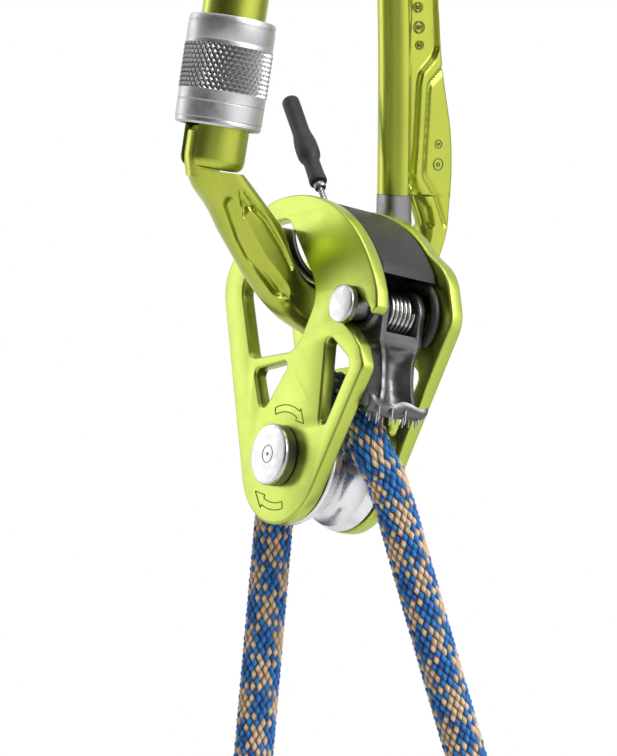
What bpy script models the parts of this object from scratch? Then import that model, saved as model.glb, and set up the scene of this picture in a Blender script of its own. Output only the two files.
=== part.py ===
"""A rope clamp pulley hanging on a screw-lock carabiner, with its rope. Metres, +Z up.

The origin is the point at the top of the carabiner's inside that the whole object hangs from.
The pulley is drawn in its own frame: X towards the cam, Y towards the rear plate, Z up, with
its origin on the sheave's axis, midway between the side plates. The carabiner is drawn in a
second frame: X towards its spine, Z up its long axis, with its origin in the basket's centre.
Sizes are in millimetres and are scaled to metres where meshes are made.
"""
import math

import bmesh
import bpy
from mathutils import Matrix, Vector

MM = 0.001
GAP = 0.3                                    # free gap between pieces that touch

# Side plates
PLATE_THICKNESS = 3.0
PLATE_INSIDE = 7.0                           # from the mid plane to a plate's inner face
PLATE_CHAMFER = 0.5
PLATE_FOOT_RADIUS = 13.5                     # the plates' round lower end, about the sheave
TOP_ARC_CENTRE = (-6.0, 18.2)
TOP_ARC_RADIUS = 35.3
PLATE_OUTSIDE = PLATE_INSIDE + PLATE_THICKNESS

# Sheave and its bearing
SHEAVE_RADIUS = 13.3
GROOVE_RADIUS = 4.4
PITCH_RADIUS = 14.5
SHEAVE_HALF_WIDTH = 6.5
BEARING_OUTSIDE = 8.6
BEARING_INSIDE = 4.4
BALL_RADIUS = 0.8
BALL_COUNT = 9
AXLE_RADIUS = 4.0
AXLE_HEAD_RADIUS = 6.1
AXLE_HEAD_HEIGHT = 3.1

# Cam
CAM_AXLE_X = 18.4
CAM_AXLE_Z = 28.4
CAM_AXLE_RADIUS = 2.6
CAM_HALF_WIDTH = 5.2
FOOT_HALF_WIDTH = 6.3
SLOT_HALF_WIDTH = 3.1                        # front plate's open slot around the cam axle
SPRING_RADIUS = 3.9
SPRING_WIRE = 0.42
SPRING_TURNS = 6
INNER_CABLE_RADIUS = 0.8
INNER_CABLE_BEND = 7.0
COVER_HALF_WIDTH = 6.6
COVER_CAVITY = 8.6                           # radius of the hollow the cam swings in
COVER_RIVETS = ((2.4, 47.4), (13.6, 42.2))
RIVET_RADIUS = 1.2

# Release cable and its grip
CABLE_EXIT = (-0.4, -4.0, 53.0)
CABLE_LEAN = math.radians(33.0)
CABLE_RADIUS = 0.65
CABLE_FREE = 5.0
GRIP_LENGTH = 24.0

# Rope
ROPE_RADIUS = 4.1
LEFT_SEAM = -13.9                            # where the left strand hangs clear of the sheave
LEFT_END = -66.5
RIGHT_ROUTE = [(16.84, 5.5, -6.5), (17.1, 8.0, -12.0), (17.5, 12.4, -22.0), (18.0, 17.3, -33.0),
               (18.5, 22.2, -44.0), (19.0, 27.2, -55.0), (19.4, 31.2, -64.0)]
KNOT_SIZE = (10.5, 9.5, 11.5)                # half sizes, the last along the rope

# Carabiner
CARABINER_TILT = math.radians(13.4)          # its plane leans towards the cam
CARABINER_LEAN = math.radians(13.6)          # its top leans to the front
BASKET_CENTRE = (-1.35, 1.0, 50.8)           # in the pulley's frame
BASKET_OUTSIDE = 25.4
CROWN_CENTRE = (-4.5, 71.0)
CROWN_INSIDE = 10.2
INSERT_RADIUS = 3.3
INSERT_CENTRE = (-1.3, -1.5)
INSERT_BEND = 14.8
LINER_DEPTH = 1.2
GATE_PIN = (-21.6, 69.0)
GATE_SLANT = math.radians(9.0)
GATE_RADIUS = 6.25
GATE_TOP = 4.0                               # heights along the gate are from its pin
GATE_BOTTOM = -59.4
GATE_PIN_RADIUS = 1.5
FORK_HALF_WIDTH = 2.4
TONGUE_HALF_WIDTH = 2.1
NOSE_TOP = -52.0
NOSE_ROOT = -61.6
NOSE_EDGE_X = -6.0                           # outer edge of the nose's web
NOSE_END_X = 0.6
NOSE_HALF_WIDTH = 2.2
PLUNGER_RADIUS = 1.9
SLEEVE_RADIUS = 8.7
SLEEVE_BOTTOM = -51.3
SLEEVE_TOP = -30.4


# ---------------------------------------------------------------- scene helpers

def clear_scene():
    for obj in list(bpy.data.objects):
        bpy.data.objects.remove(obj, do_unlink=True)


def new_collection(name):
    collection = bpy.data.collections.new(name)
    bpy.context.scene.collection.children.link(collection)
    return collection


def material(name, color, roughness, metallic):
    mat = bpy.data.materials.new(name)
    mat.use_nodes = True
    shader = mat.node_tree.nodes["Principled BSDF"]
    shader.inputs["Base Color"].default_value = (*color, 1.0)
    shader.inputs["Roughness"].default_value = roughness
    shader.inputs["Metallic"].default_value = metallic
    return mat


def empty(name, matrix, parent=None):
    frame = bpy.data.objects.new(name, None)
    PARTS.objects.link(frame)
    frame.parent = parent
    frame.matrix_local = matrix
    return frame


def axis_rotation(axis):
    """Rotation that turns local Z onto the given direction."""
    return Vector(axis).normalized().to_track_quat("Z", "Y").to_matrix().to_4x4()


def placed(name, mesh, frame, mat=None, matrix=None):
    """Puts a mesh into the parts, or, without a material, among the cutters."""
    obj = bpy.data.objects.new(name, mesh)
    if mat is None:
        CUTTERS.objects.link(obj)
        obj.hide_render = True
        obj.display_type = "WIRE"
    else:
        PARTS.objects.link(obj)
        mesh.materials.append(mat)
    obj.parent = frame
    obj.matrix_local = matrix or Matrix.Identity(4)
    return obj


def finish_mesh(bm, name):
    bmesh.ops.scale(bm, vec=(MM, MM, MM), verts=bm.verts)
    mesh = bpy.data.meshes.new(name)
    bm.to_mesh(mesh)
    bm.free()
    return mesh


def shade_round(mesh, angle=35.0):
    mesh.shade_smooth()
    mesh.set_sharp_from_angle(angle=math.radians(angle))


def combine(target, tool, operation="DIFFERENCE"):
    modifier = target.modifiers.new(tool.name, "BOOLEAN")
    modifier.operation = operation
    modifier.object = tool
    return target


def at(x, y, z):
    return Matrix.Translation(Vector((x, y, z)) * MM)


# ---------------------------------------------------------------- shape helpers

def arc(cx, cz, radius, start, end, step=12.0):
    """Points along an arc, angles in degrees."""
    count = max(2, math.ceil(abs(end - start) / step))
    angles = [math.radians(start + (end - start) * i / count) for i in range(count + 1)]
    return [(cx + radius * math.cos(a), cz + radius * math.sin(a)) for a in angles]


def rounded(corners, step=18.0):
    """A closed outline. A corner with a third value is rounded to that radius."""
    outline = []
    for i, corner in enumerate(corners):
        here = Vector(corner[:2])
        radius = corner[2] if len(corner) > 2 else 0.0
        if radius == 0.0:
            outline.append(tuple(here))
            continue
        back = (Vector(corners[i - 1][:2]) - here).normalized()
        ahead = (Vector(corners[(i + 1) % len(corners)][:2]) - here).normalized()
        half = back.angle(ahead) / 2
        centre = here + (back + ahead).normalized() * (radius / math.sin(half))
        reach = radius / math.tan(half)
        start = here + back * reach - centre
        end = here + ahead * reach - centre
        turn = start.angle_signed(end)
        count = max(1, math.ceil(abs(math.degrees(turn)) / step))
        first = math.atan2(start.y, start.x)
        for k in range(count + 1):
            angle = first - turn * k / count
            outline.append((centre.x + radius * math.cos(angle), centre.y + radius * math.sin(angle)))
    return outline


def slab(name, outlines, thickness, chamfer=0.0):
    """A flat mesh of an outline with holes. It lies in local XZ, thick along local Y."""
    curve = bpy.data.curves.new(name, "CURVE")
    curve.dimensions = "2D"
    curve.fill_mode = "BOTH"
    curve.extrude = (thickness / 2 - chamfer) * MM
    curve.bevel_depth = chamfer * MM
    curve.bevel_resolution = 0
    curve.offset = -chamfer * MM
    for outline in outlines:
        spline = curve.splines.new("POLY")
        spline.points.add(len(outline) - 1)
        spline.use_cyclic_u = True
        for point, (x, z) in zip(spline.points, outline):
            point.co = (x * MM, z * MM, 0.0, 1.0)
    source = bpy.data.objects.new(name, curve)
    bpy.context.scene.collection.objects.link(source)
    mesh = as_mesh(source, name)
    mesh.transform(Matrix.Rotation(math.radians(90), 4, "X"))
    return mesh


def as_mesh(source, name):
    """Turns a curve object into one welded, closed mesh and removes the curve."""
    depsgraph = bpy.context.evaluated_depsgraph_get()
    mesh = bpy.data.meshes.new_from_object(source.evaluated_get(depsgraph))
    mesh.name = name
    bpy.data.objects.remove(source, do_unlink=True)
    bm = bmesh.new()
    bm.from_mesh(mesh)
    bmesh.ops.remove_doubles(bm, verts=bm.verts, dist=2e-6)
    bmesh.ops.dissolve_degenerate(bm, dist=1e-6, edges=bm.edges)
    bmesh.ops.recalc_face_normals(bm, faces=bm.faces)
    bm.to_mesh(mesh)
    bm.free()
    mesh.materials.clear()
    return mesh


def tube(name, points, radius, resolution=2):
    """A mesh along a list of points, with closed round ends cut square."""
    curve = bpy.data.curves.new(name, "CURVE")
    curve.dimensions = "3D"
    curve.bevel_depth = radius * MM
    curve.bevel_resolution = resolution
    curve.use_fill_caps = True
    spline = curve.splines.new("POLY")
    spline.points.add(len(points) - 1)
    for point, (x, y, z) in zip(spline.points, points):
        point.co = (x * MM, y * MM, z * MM, 1.0)
    source = bpy.data.objects.new(name, curve)
    bpy.context.scene.collection.objects.link(source)
    mesh = as_mesh(source, name)
    shade_round(mesh, 50.0)
    return mesh


def smooth_route(route, count):
    """Evenly spread points on a smooth curve through the route's own points."""
    knots = [Vector(p) for p in route]
    knots = [knots[0] * 2 - knots[1]] + knots + [knots[-1] * 2 - knots[-2]]
    fine = []
    for a, b, c, d in zip(knots, knots[1:], knots[2:], knots[3:]):
        for k in range(20):
            t = k / 20
            fine.append(0.5 * (2 * b + (c - a) * t + (2 * a - 5 * b + 4 * c - d) * t * t
                               + (3 * b - a - 3 * c + d) * t ** 3))
    fine.append(knots[-2])
    travelled = [0.0]
    for a, b in zip(fine, fine[1:]):
        travelled.append(travelled[-1] + (b - a).length)
    spread = []
    for k in range(count):
        goal = travelled[-1] * k / (count - 1)
        i = min(max(1, sum(1 for s in travelled if s < goal)), len(fine) - 1)
        part = (goal - travelled[i - 1]) / (travelled[i] - travelled[i - 1])
        spread.append(fine[i - 1].lerp(fine[i], part))
    return spread


def turned(name, profile, frame, mat, matrix, steps=32, closed=True):
    """A turned piece about local Z. The profile runs down its outer side."""
    count = len(profile)
    mesh = bpy.data.meshes.new(name)
    edges = [(i, (i + 1) % count) for i in range(count if closed else count - 1)]
    mesh.from_pydata([(r * MM, 0.0, z * MM) for r, z in profile], edges, [])
    obj = placed(name, mesh, frame, mat, matrix)
    screw = obj.modifiers.new("turn", "SCREW")
    screw.steps = steps
    screw.render_steps = steps
    screw.use_merge_vertices = True
    screw.merge_threshold = 0.00001
    screw.use_smooth_shade = False
    return obj


def cylinder(radius, start, end, segments=24, name="cylinder"):
    """A cylinder mesh about local Z, from start to end."""
    bm = bmesh.new()
    bmesh.ops.create_cone(bm, cap_ends=True, segments=segments, radius1=radius, radius2=radius,
                          depth=end - start, matrix=Matrix.Translation((0, 0, (start + end) / 2)))
    return finish_mesh(bm, name)


def block(low, high, name="block"):
    """A box mesh between two corners."""
    bm = bmesh.new()
    low, high = Vector(low), Vector(high)
    size = Matrix.Diagonal((*(high - low), 1.0))
    bmesh.ops.create_cube(bm, size=1.0, matrix=Matrix.Translation((low + high) / 2) @ size)
    return finish_mesh(bm, name)


def coil(radius, start, end, turns, steps=12):
    """Centreline points of a coil about Y."""
    count = turns * steps
    points = []
    for i in range(count + 1):
        angle = math.tau * i / steps
        along = start + (end - start) * i / count
        points.append((radius * math.cos(angle), along, radius * math.sin(angle)))
    return points


def loft(name, rings):
    """A closed mesh through rings that have the same number of points."""
    bm = bmesh.new()
    rows = [[bm.verts.new(point) for point in ring] for ring in rings]
    count = len(rows[0])
    for a, b in zip(rows, rows[1:]):
        for i in range(count):
            j = (i + 1) % count
            bm.faces.new((a[i], a[j], b[j], b[i]))
    caps = [bm.faces.new(rows[0][::-1]), bm.faces.new(rows[-1])]
    bmesh.ops.triangulate(bm, faces=caps)
    bmesh.ops.recalc_face_normals(bm, faces=bm.faces)
    mesh = finish_mesh(bm, name)
    shade_round(mesh, 40.0)
    return mesh


# ---------------------------------------------------------------- side plates

def slot_side(radius, start, end):
    """Edge of the open slot, an arc about the sheave."""
    return arc(0.0, 0.0, radius, start, end, 6.0)


def front_outline():
    reach = math.hypot(CAM_AXLE_X, CAM_AXLE_Z)
    angle = math.degrees(math.atan2(CAM_AXLE_Z, CAM_AXLE_X))
    foot = arc(0, 0, PLATE_FOOT_RADIUS, 198.4, 329.1)
    slot_end = arc(CAM_AXLE_X, CAM_AXLE_Z, SLOT_HALF_WIDTH, angle + 180, angle + 0.1)
    slot = slot_side(reach - SLOT_HALF_WIDTH, 41.0, angle - 0.5) + slot_end
    slot += slot_side(reach + SLOT_HALF_WIDTH, angle - 0.5, 47.0)
    top = arc(*TOP_ARC_CENTRE, TOP_ARC_RADIUS, 20.0, 96.0, 7.0)
    corners = foot + [(21.6, 10.6), (24.9, 16.2, 2.2), *slot, (25.6, 25.4, 0.8), (27.6, 27.0, 1.0)]
    return rounded(corners + top + [(-14.8, 52.2, 12.0), (-26.9, 38.6, 9.0)])


def rear_outline():
    foot = arc(0, 0, PLATE_FOOT_RADIUS, 198.4, 331.6)
    top = arc(*TOP_ARC_CENTRE, TOP_ARC_RADIUS, 42.0, 96.0, 7.0)
    side = [(29.6, 27.2, 7.0), (26.8, 37.0, 10.0)]
    return rounded(foot + side + top + [(-14.8, 52.2, 12.0), (-26.9, 38.6, 9.0)])


def carabiner_window():
    return rounded([(-4.2, 48.6, 3.5), (8.4, 32.2, 7.0), (2.4, 20.9, 6.0), (-13.3, 20.5, 2.6),
                    (-18.9, 35.6, 5.0), (-13.6, 48.4, 5.0)])


def left_window():
    return rounded([(-11.7, 18.1, 1.2), (0.9, 19.1, 1.0), (-7.8, 8.8, 1.6)])


def right_window():
    return rounded([(12.1, 2.4, 1.2), (20.7, 17.3, 2.2), (12.2, 23.8, 1.4)])


def plate(name, outline, side):
    """One side plate with its windows. side is -1 for the front and +1 for the rear."""
    hole = arc(0, 0, AXLE_RADIUS + GAP, 0, 345, 15)
    outlines = [outline, carabiner_window(), left_window(), right_window(), hole]
    if side > 0:
        outlines.append(arc(CAM_AXLE_X, CAM_AXLE_Z, CAM_AXLE_RADIUS + GAP, 0, 342, 18))
        outlines += [arc(x, z, RIVET_RADIUS + GAP, 0, 330, 30) for x, z in COVER_RIVETS]
    mesh = slab(name, outlines, PLATE_THICKNESS, PLATE_CHAMFER)
    middle = side * (PLATE_INSIDE + PLATE_THICKNESS / 2)
    return placed(name, mesh, DEVICE, GREEN, at(0, middle, 0))


# ---------------------------------------------------------------- sheave and axle

TO_REAR = axis_rotation((0, 1, 0))           # local Z to the pulley's Y


def sheave():
    half = SHEAVE_HALF_WIDTH
    groove = []
    for degrees in range(62, -63, -12):
        angle = math.radians(degrees)
        groove.append((PITCH_RADIUS - GROOVE_RADIUS * math.cos(angle), GROOVE_RADIUS * math.sin(angle)))
    outer = [(SHEAVE_RADIUS - 0.6, half), (SHEAVE_RADIUS, half - 0.6), *groove,
             (SHEAVE_RADIUS, 0.6 - half), (SHEAVE_RADIUS - 0.6, -half)]
    bore = BEARING_OUTSIDE + GAP
    inner = [(bore, -half), (bore, half)]
    return turned("sheave", outer + inner, DEVICE, POLISHED, TO_REAR, 48)


def bearing_ring(name, outside, inside, half, groove_depth, groove_at):
    """A ball bearing ring with a shallow ball groove on its inner or outer wall."""
    outer = [(outside, half), (outside, -half)]
    inner = [(inside, -half), (inside, half)]
    if groove_at == "outside":
        outer = [(outside, half), (outside, 1.0), (outside - groove_depth, 0.4),
                 (outside - groove_depth, -0.4), (outside, -1.0), (outside, -half)]
    else:
        inner = [(inside, -half), (inside, -1.0), (inside + groove_depth, -0.4),
                 (inside + groove_depth, 0.4), (inside, 1.0), (inside, half)]
    return turned(name, outer + inner, DEVICE, STEEL, TO_REAR, 28)


def bearing():
    bearing_ring("bearing_outer_ring", BEARING_OUTSIDE, 7.5, 3.2, 0.3, "inside")
    bearing_ring("bearing_inner_ring", 5.6, BEARING_INSIDE, SHEAVE_HALF_WIDTH + 0.15, 0.3, "outside")
    reach = (7.5 + 5.6) / 2
    cage = [(reach + 0.3, 0.35), (reach + 0.3, -0.35), (reach - 0.3, -0.35), (reach - 0.3, 0.35)]
    body = turned("bearing_balls", cage, DEVICE, STEEL, TO_REAR, 27)
    bm = bmesh.new()
    for i in range(BALL_COUNT):
        angle = math.tau * i / BALL_COUNT
        place = Matrix.Translation((reach * math.cos(angle), 0, reach * math.sin(angle)))
        bmesh.ops.create_uvsphere(bm, u_segments=8, v_segments=6, radius=BALL_RADIUS, matrix=place)
    combine(body, placed("join_balls", finish_mesh(bm, "balls"), DEVICE), "UNION")
    for side, name in ((-1, "bearing_shield_front"), (1, "bearing_shield_rear")):
        ring = [(7.4, 0.35), (7.4, -0.35), (5.95, -0.35), (5.95, 0.35)]
        turned(name, ring, DEVICE, DARK_STEEL, at(0, side * 2.4, 0) @ TO_REAR, 24)


def sheave_axle():
    """Headed pin through both plates. Its front head has a shallow turned recess."""
    face = PLATE_OUTSIDE + AXLE_HEAD_HEIGHT
    under = PLATE_OUTSIDE + 0.15
    profile = [(0, face - 0.35), (3.2, face - 0.35), (3.6, face), (AXLE_HEAD_RADIUS - 0.5, face),
               (AXLE_HEAD_RADIUS, face - 0.5), (AXLE_HEAD_RADIUS, under), (AXLE_RADIUS, under),
               (AXLE_RADIUS, -13.2), (AXLE_RADIUS - 0.6, -13.8), (0, -13.8)]
    turned("sheave_axle", profile, DEVICE, STEEL, axis_rotation((0, -1, 0)), 36, closed=False)
    collar = [(AXLE_HEAD_RADIUS - 0.5, 12.6), (AXLE_HEAD_RADIUS, 12.1), (AXLE_HEAD_RADIUS, under),
              (AXLE_RADIUS + GAP, under), (AXLE_RADIUS + GAP, 12.6)]
    turned("axle_collar", collar, DEVICE, STEEL, TO_REAR, 36)


# ---------------------------------------------------------------- cam

def cam_axle():
    head = [(0, 12.0), (3.3, 12.0), (3.75, 11.6), (3.75, 10.35), (CAM_AXLE_RADIUS, 10.35),
            (CAM_AXLE_RADIUS, -11.2), (2.2, -11.6), (0, -11.6)]
    turned("cam_axle", head, CAM_FRAME, STEEL, axis_rotation((0, -1, 0)), 28, closed=False)
    collar = [(3.4, 11.3), (3.7, 11.0), (3.7, 10.3), (2.9, 10.3), (2.9, 11.3)]
    turned("cam_axle_collar", collar, CAM_FRAME, STEEL, TO_REAR, 24)


def cam_outline():
    """Side view about the cam axle: a boss, and an arm down to the foot."""
    boss = arc(0, 0, 5.0, -22, 202, 16)
    arm_left = [(-3.7, -7.0), (-3.9, -11.6), (-4.9, -14.6, 0.6), (-2.6, -17.2, 0.8)]
    arm_right = [(4.6, -18.6, 0.6), (3.9, -12.6, 2.0), (3.6, -6.0)]
    return rounded(boss + arm_left + arm_right)


def foot_outline():
    """Side view of the foot: a sole over the rope, with a lip that curls up at its end."""
    sole = [(-2.6, -17.5, 0.8), (0.6, -19.4), (4.4, -20.0, 0.8)]
    lip = [(6.6, -18.7, 0.5), (6.3, -17.3, 0.4), (5.2, -18.0, 0.6), (3.0, -17.4, 1.0), (-2.4, -13.4, 1.0)]
    return rounded(sole + lip + [(-5.1, -14.8, 0.6)])


def cam():
    body = placed("cam", slab("cam", [cam_outline()], 2 * CAM_HALF_WIDTH, 0.6), CAM_FRAME, DARK_STEEL)
    foot = slab("cam_foot", [foot_outline()], 2 * FOOT_HALF_WIDTH, 0.3)
    combine(body, placed("join_cam_foot", foot, CAM_FRAME), "UNION")
    combine(body, placed("cut_cam_bore", cylinder(CAM_AXLE_RADIUS + GAP, -8, 8), CAM_FRAME, None, TO_REAR))
    window = block((-7, -3.6, -5.4), (7, 3.6, 7))
    combine(body, placed("cut_cam_window", window, CAM_FRAME))
    channel = cylinder(4.0, -15.0, -4.0, 20)
    combine(body, placed("cut_cam_channel", channel, CAM_FRAME, None, at(6.4, 0, 0)))
    for side, name in ((-1, "cut_waist_front"), (1, "cut_waist_rear")):
        waist = cylinder(4.4, -9.0, 9.0, 24)
        place = at(0, side * (CAM_HALF_WIDTH + 2.6), -10.2) @ axis_rotation((1, 0, 0))
        combine(body, placed(name, waist, CAM_FRAME, None, place))
    combine(body, placed("cam_teeth", teeth_mesh(), CAM_FRAME), "UNION")


def teeth_mesh():
    """Slim pointed pins under the foot, shorter where the rope lies."""
    bm = bmesh.new()
    rows = [(-0.4, -18.2, 1.3), (1.2, -19.0, 2.0), (2.8, -19.2, 2.8), (4.3, -19.4, 3.2), (5.6, -18.9, 3.2)]
    for x, top, depth in rows:
        for y in (-4.8, -1.6, 1.6, 4.8):
            place = Matrix.Translation((x, y, top - depth / 2))
            bmesh.ops.create_cone(bm, cap_ends=True, segments=6, radius1=0.12, radius2=0.42,
                                  depth=depth, matrix=place)
    return finish_mesh(bm, "cam_teeth")


def cam_spring():
    points = [(-5.6, -3.05, 6.2)]
    points += coil(SPRING_RADIUS, -3.05, 3.05, SPRING_TURNS)[5:]
    mesh = tube("cam_spring", points, SPRING_WIRE)
    placed("cam_spring", mesh, CAM_FRAME, SPRING_STEEL)


def inner_cable():
    """The cable's end inside the cover, laid round the cam's rear boss to its foot."""
    path = [(x, 6.05, z) for x, z in arc(0, 0, INNER_CABLE_BEND, 128, -52, 10)]
    placed("release_cable_inner", tube("release_cable_inner", path, INNER_CABLE_RADIUS), CAM_FRAME, BLACK)


# ---------------------------------------------------------------- cover

def cover_outline():
    outer = arc(*TOP_ARC_CENTRE, TOP_ARC_RADIUS - 0.3, 31.5, 84.0, 8.0)
    left = [(-3.2, 49.9, 1.0), (-3.4, 47.6, 0.8), (5.6, 34.6, 5.0), (7.7, 28.6), (8.6, 24.6, 0.7)]
    cavity = arc(CAM_AXLE_X, CAM_AXLE_Z, COVER_CAVITY, 202.0, 48.0, 14.0)
    return rounded(outer + left + cavity)


def cable_direction():
    return Vector((-math.sin(CABLE_LEAN), 0, math.cos(CABLE_LEAN)))


def cover():
    body = placed("cover", slab("cover", [cover_outline()], 2 * COVER_HALF_WIDTH, 0.4), DEVICE, BLACK)
    along_cable = at(*CABLE_EXIT) @ axis_rotation(cable_direction())
    hole = cylinder(CABLE_RADIUS + 0.45, -30, 6, 14)
    combine(body, placed("cut_cable_hole", hole, DEVICE, None, along_cable))
    slit = block((-2.6, -0.5, -0.9), (2.6, 0.5, 1.5))
    tilt = Matrix.Rotation(math.radians(18), 4, "Y")
    combine(body, placed("cut_cover_slit", slit, DEVICE, None, at(6.5, -4.6, 50.9) @ tilt))
    for i, (x, z) in enumerate(COVER_RIVETS):
        bore = cylinder(RIVET_RADIUS + GAP, 1.0, 8.0, 14)
        combine(body, placed(f"cut_rivet_bore_{i + 1}", bore, DEVICE, None, at(x, 0, z) @ TO_REAR))
    rivets()


def rivets():
    """Headed rivets that hold the cover to the rear plate."""
    profile = [(0, 11.2), (1.7, 11.2), (2.2, 10.3), (RIVET_RADIUS, 10.3), (RIVET_RADIUS, 1.4), (0, 1.4)]
    for i, (x, z) in enumerate(COVER_RIVETS):
        turned(f"cover_rivet_{i + 1}", profile, DEVICE, STEEL, at(x, 0, z) @ TO_REAR, 16, closed=False)


def release_cable():
    along = CABLE_FRAME
    mesh = cylinder(CABLE_RADIUS, -21.0, CABLE_FREE + 4.0, 10, "release_cable")
    shade_round(mesh)
    placed("release_cable", mesh, along, CABLE_STEEL)
    socket = CABLE_RADIUS + GAP
    top = CABLE_FREE + GRIP_LENGTH
    grip = [(0, top), (1.5, top), (1.85, top - 0.4), (1.9, top - 10.5), (2.35, top - 13.5),
            (2.35, top - 17.5), (1.6, top - 19.5), (1.55, CABLE_FREE + 0.3), (1.3, CABLE_FREE),
            (socket, CABLE_FREE), (socket, CABLE_FREE + 4.4), (0, CABLE_FREE + 4.4)]
    turned("release_grip", grip, along, RUBBER, Matrix.Identity(4), 20, closed=False)
    collar = [(1.25, CABLE_FREE - 0.35), (1.25, CABLE_FREE - 1.6), (CABLE_RADIUS + 0.3, CABLE_FREE - 1.6),
              (CABLE_RADIUS + 0.3, CABLE_FREE - 0.35)]
    turned("cable_ferrule", collar, along, STEEL, Matrix.Identity(4), 16)


# ---------------------------------------------------------------- rope

def rope_over_sheave_route():
    left = [(-PITCH_RADIUS, 0, LEFT_SEAM), (-PITCH_RADIUS, 0, -7.0)]
    over = [(x, 0.0, z) for x, z in arc(0, 0, PITCH_RADIUS, 180, 32, 12)]
    right = [(15.5, 0.9, 1.6), (16.55, 3.5, -2.6), (16.8, 5.2, -5.9)]
    return left + over + right


def rope():
    left = [(-PITCH_RADIUS, 0, LEFT_SEAM - 0.4), (-PITCH_RADIUS, 0, LEFT_END)]
    strand("rope_over_sheave", smooth_route(rope_over_sheave_route(), 26))
    strand("rope_left_strand", smooth_route(left, 7))
    strand("rope_right_strand", smooth_route(RIGHT_ROUTE, 8))
    knot("knot_left", left)
    knot("knot_right", RIGHT_ROUTE)


def strand(name, points):
    placed(name, tube(name, points, ROPE_RADIUS), DEVICE, ROPE)


def knot(name, route):
    """The outer shape of the stopper knot on a strand's end."""
    end = Vector(route[-1])
    along = (end - Vector(route[-2])).normalized()
    bm = bmesh.new()
    bmesh.ops.create_icosphere(bm, subdivisions=2, radius=1.0, matrix=Matrix.Diagonal((*KNOT_SIZE, 1)))
    mesh = finish_mesh(bm, name)
    shade_round(mesh, 60.0)
    centre = end + along * (KNOT_SIZE[2] + GAP)
    placed(name, mesh, DEVICE, ROPE, at(*centre) @ axis_rotation(along))


# ---------------------------------------------------------------- carabiner

def polar(radius, degrees, centre=(0.0, 0.0)):
    angle = math.radians(degrees)
    return (centre[0] + radius * math.cos(angle), centre[1] + radius * math.sin(angle))


def station(inner, outer, round_half, web_half, rim_half):
    """A cross-section: inner and outer edge, and half thicknesses of bar, web and rim."""
    return (*inner, *outer, round_half, web_half, rim_half)


def crown_station(degrees, outside, halves):
    inner = polar(CROWN_INSIDE, degrees, CROWN_CENTRE)
    return station(inner, polar(outside, degrees, CROWN_CENTRE), *halves)


def basket_station(degrees, inside, outside, halves):
    return station(polar(inside, degrees), polar(outside, degrees), *halves)


def liner_station(degrees, outside, halves):
    """A station whose inner edge lies on the insert's thin liner."""
    inner = polar(INSERT_BEND - INSERT_RADIUS + LINER_DEPTH + 0.4, degrees, INSERT_CENTRE)
    return station(inner, polar(outside, degrees), *halves)


def carabiner_runs():
    """Stretches of the body from the gate's hinge over the crown to the nose."""
    tongue = (TONGUE_HALF_WIDTH,) * 3
    crown = (4.6, 3.8, 4.6)
    spine = (4.0, 2.7, 3.6)
    basket = (3.4, 2.8, 3.6)
    middle = (4.4, 3.8, 4.4)
    nose = (5.2, 4.6, 4.4)
    hinge = [station((-16.6, 64.2), (-26.3, 64.2), *tongue), station((-15.6, 70), (-26.3, 70), *tongue),
             station((-15.1, 74.7), (-26.4, 74.7), *tongue)]
    upper = [station((-15.0, 74.9), (-26.4, 74.9), *crown), crown_station(135, 20.6, crown),
             crown_station(90, 20.2, crown), crown_station(45, 20.6, crown),
             station((6.2, 69), (17.8, 69), *crown), station((7.6, 57), (19.8, 57), *spine),
             station((8.5, 45), (21.5, 45), *spine), station((9.2, 31), (23.2, 31), *spine),
             station((9.6, 18), (25.9, 18), *spine), station((9.8, 10), (26.6, 10), *spine),
             station((9.9, 4.4), (26.5, 4.4), *spine)]
    lower = [station((17.2, 3.9), (26.5, 3.9), *basket), basket_station(-10, 20.2, 25.9, basket)]
    lower += [basket_station(angle, 20.1, BASKET_OUTSIDE, basket) for angle in (-32, -55, -78, -102)]
    front = [liner_station(-109, BASKET_OUTSIDE, basket), liner_station(-128, 24.6, middle),
             liner_station(-150, 24.8, nose), station((-14.7, -2.4), (-27.6, -3.4), *nose),
             station((-17.6, 1.2), (-31.0, 2.6), *nose), station((-21.2, 5.3), (-33.8, 7.2), *nose),
             station((-24.7, 8.9), (-35.5, 10.2), *nose)]
    return [hinge, upper, lower, front]


def smooth_run(run, parts):
    """Catmull-Rom stations through a run's own stations."""
    if len(run) < 4:
        return run
    rows = [Vector(row) for row in run]
    rows = [rows[0] * 2 - rows[1]] + rows + [rows[-1] * 2 - rows[-2]]
    result = []
    for a, b, c, d in zip(rows, rows[1:], rows[2:], rows[3:]):
        for k in range(parts):
            t = k / parts
            result.append(0.5 * (2 * b + (c - a) * t + (2 * a - 5 * b + 4 * c - d) * t * t
                                 + (3 * b - a - 3 * c + d) * t ** 3))
    result.append(rows[-2])
    return [tuple(row) for row in result]


def section_ring(row):
    """Points round an I-shaped section with a round inner bar."""
    w_in, l_in, w_out, l_out, bar, web, rim = row
    inner = Vector((w_in, l_in))
    across = Vector((w_out, l_out)) - inner
    depth = across.length
    across.normalize()
    bar_depth = min(bar, depth * 0.3)
    side = [(0.0, 0.0)]
    for degrees in (35, 70, 105):
        angle = math.radians(degrees)
        side.append((bar_depth * (1 - math.cos(angle)), bar * math.sin(angle)))
    side += [(bar_depth * 1.9, web), (depth - max(2.0, depth * 0.16), web),
             (depth - max(1.4, depth * 0.11), rim), (depth - 0.5, rim), (depth, rim - 0.6)]
    both = side + [(u, -half) for u, half in reversed(side[1:])]
    return [(inner.x + across.x * u, half, inner.y + across.y * u) for u, half in both]


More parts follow.
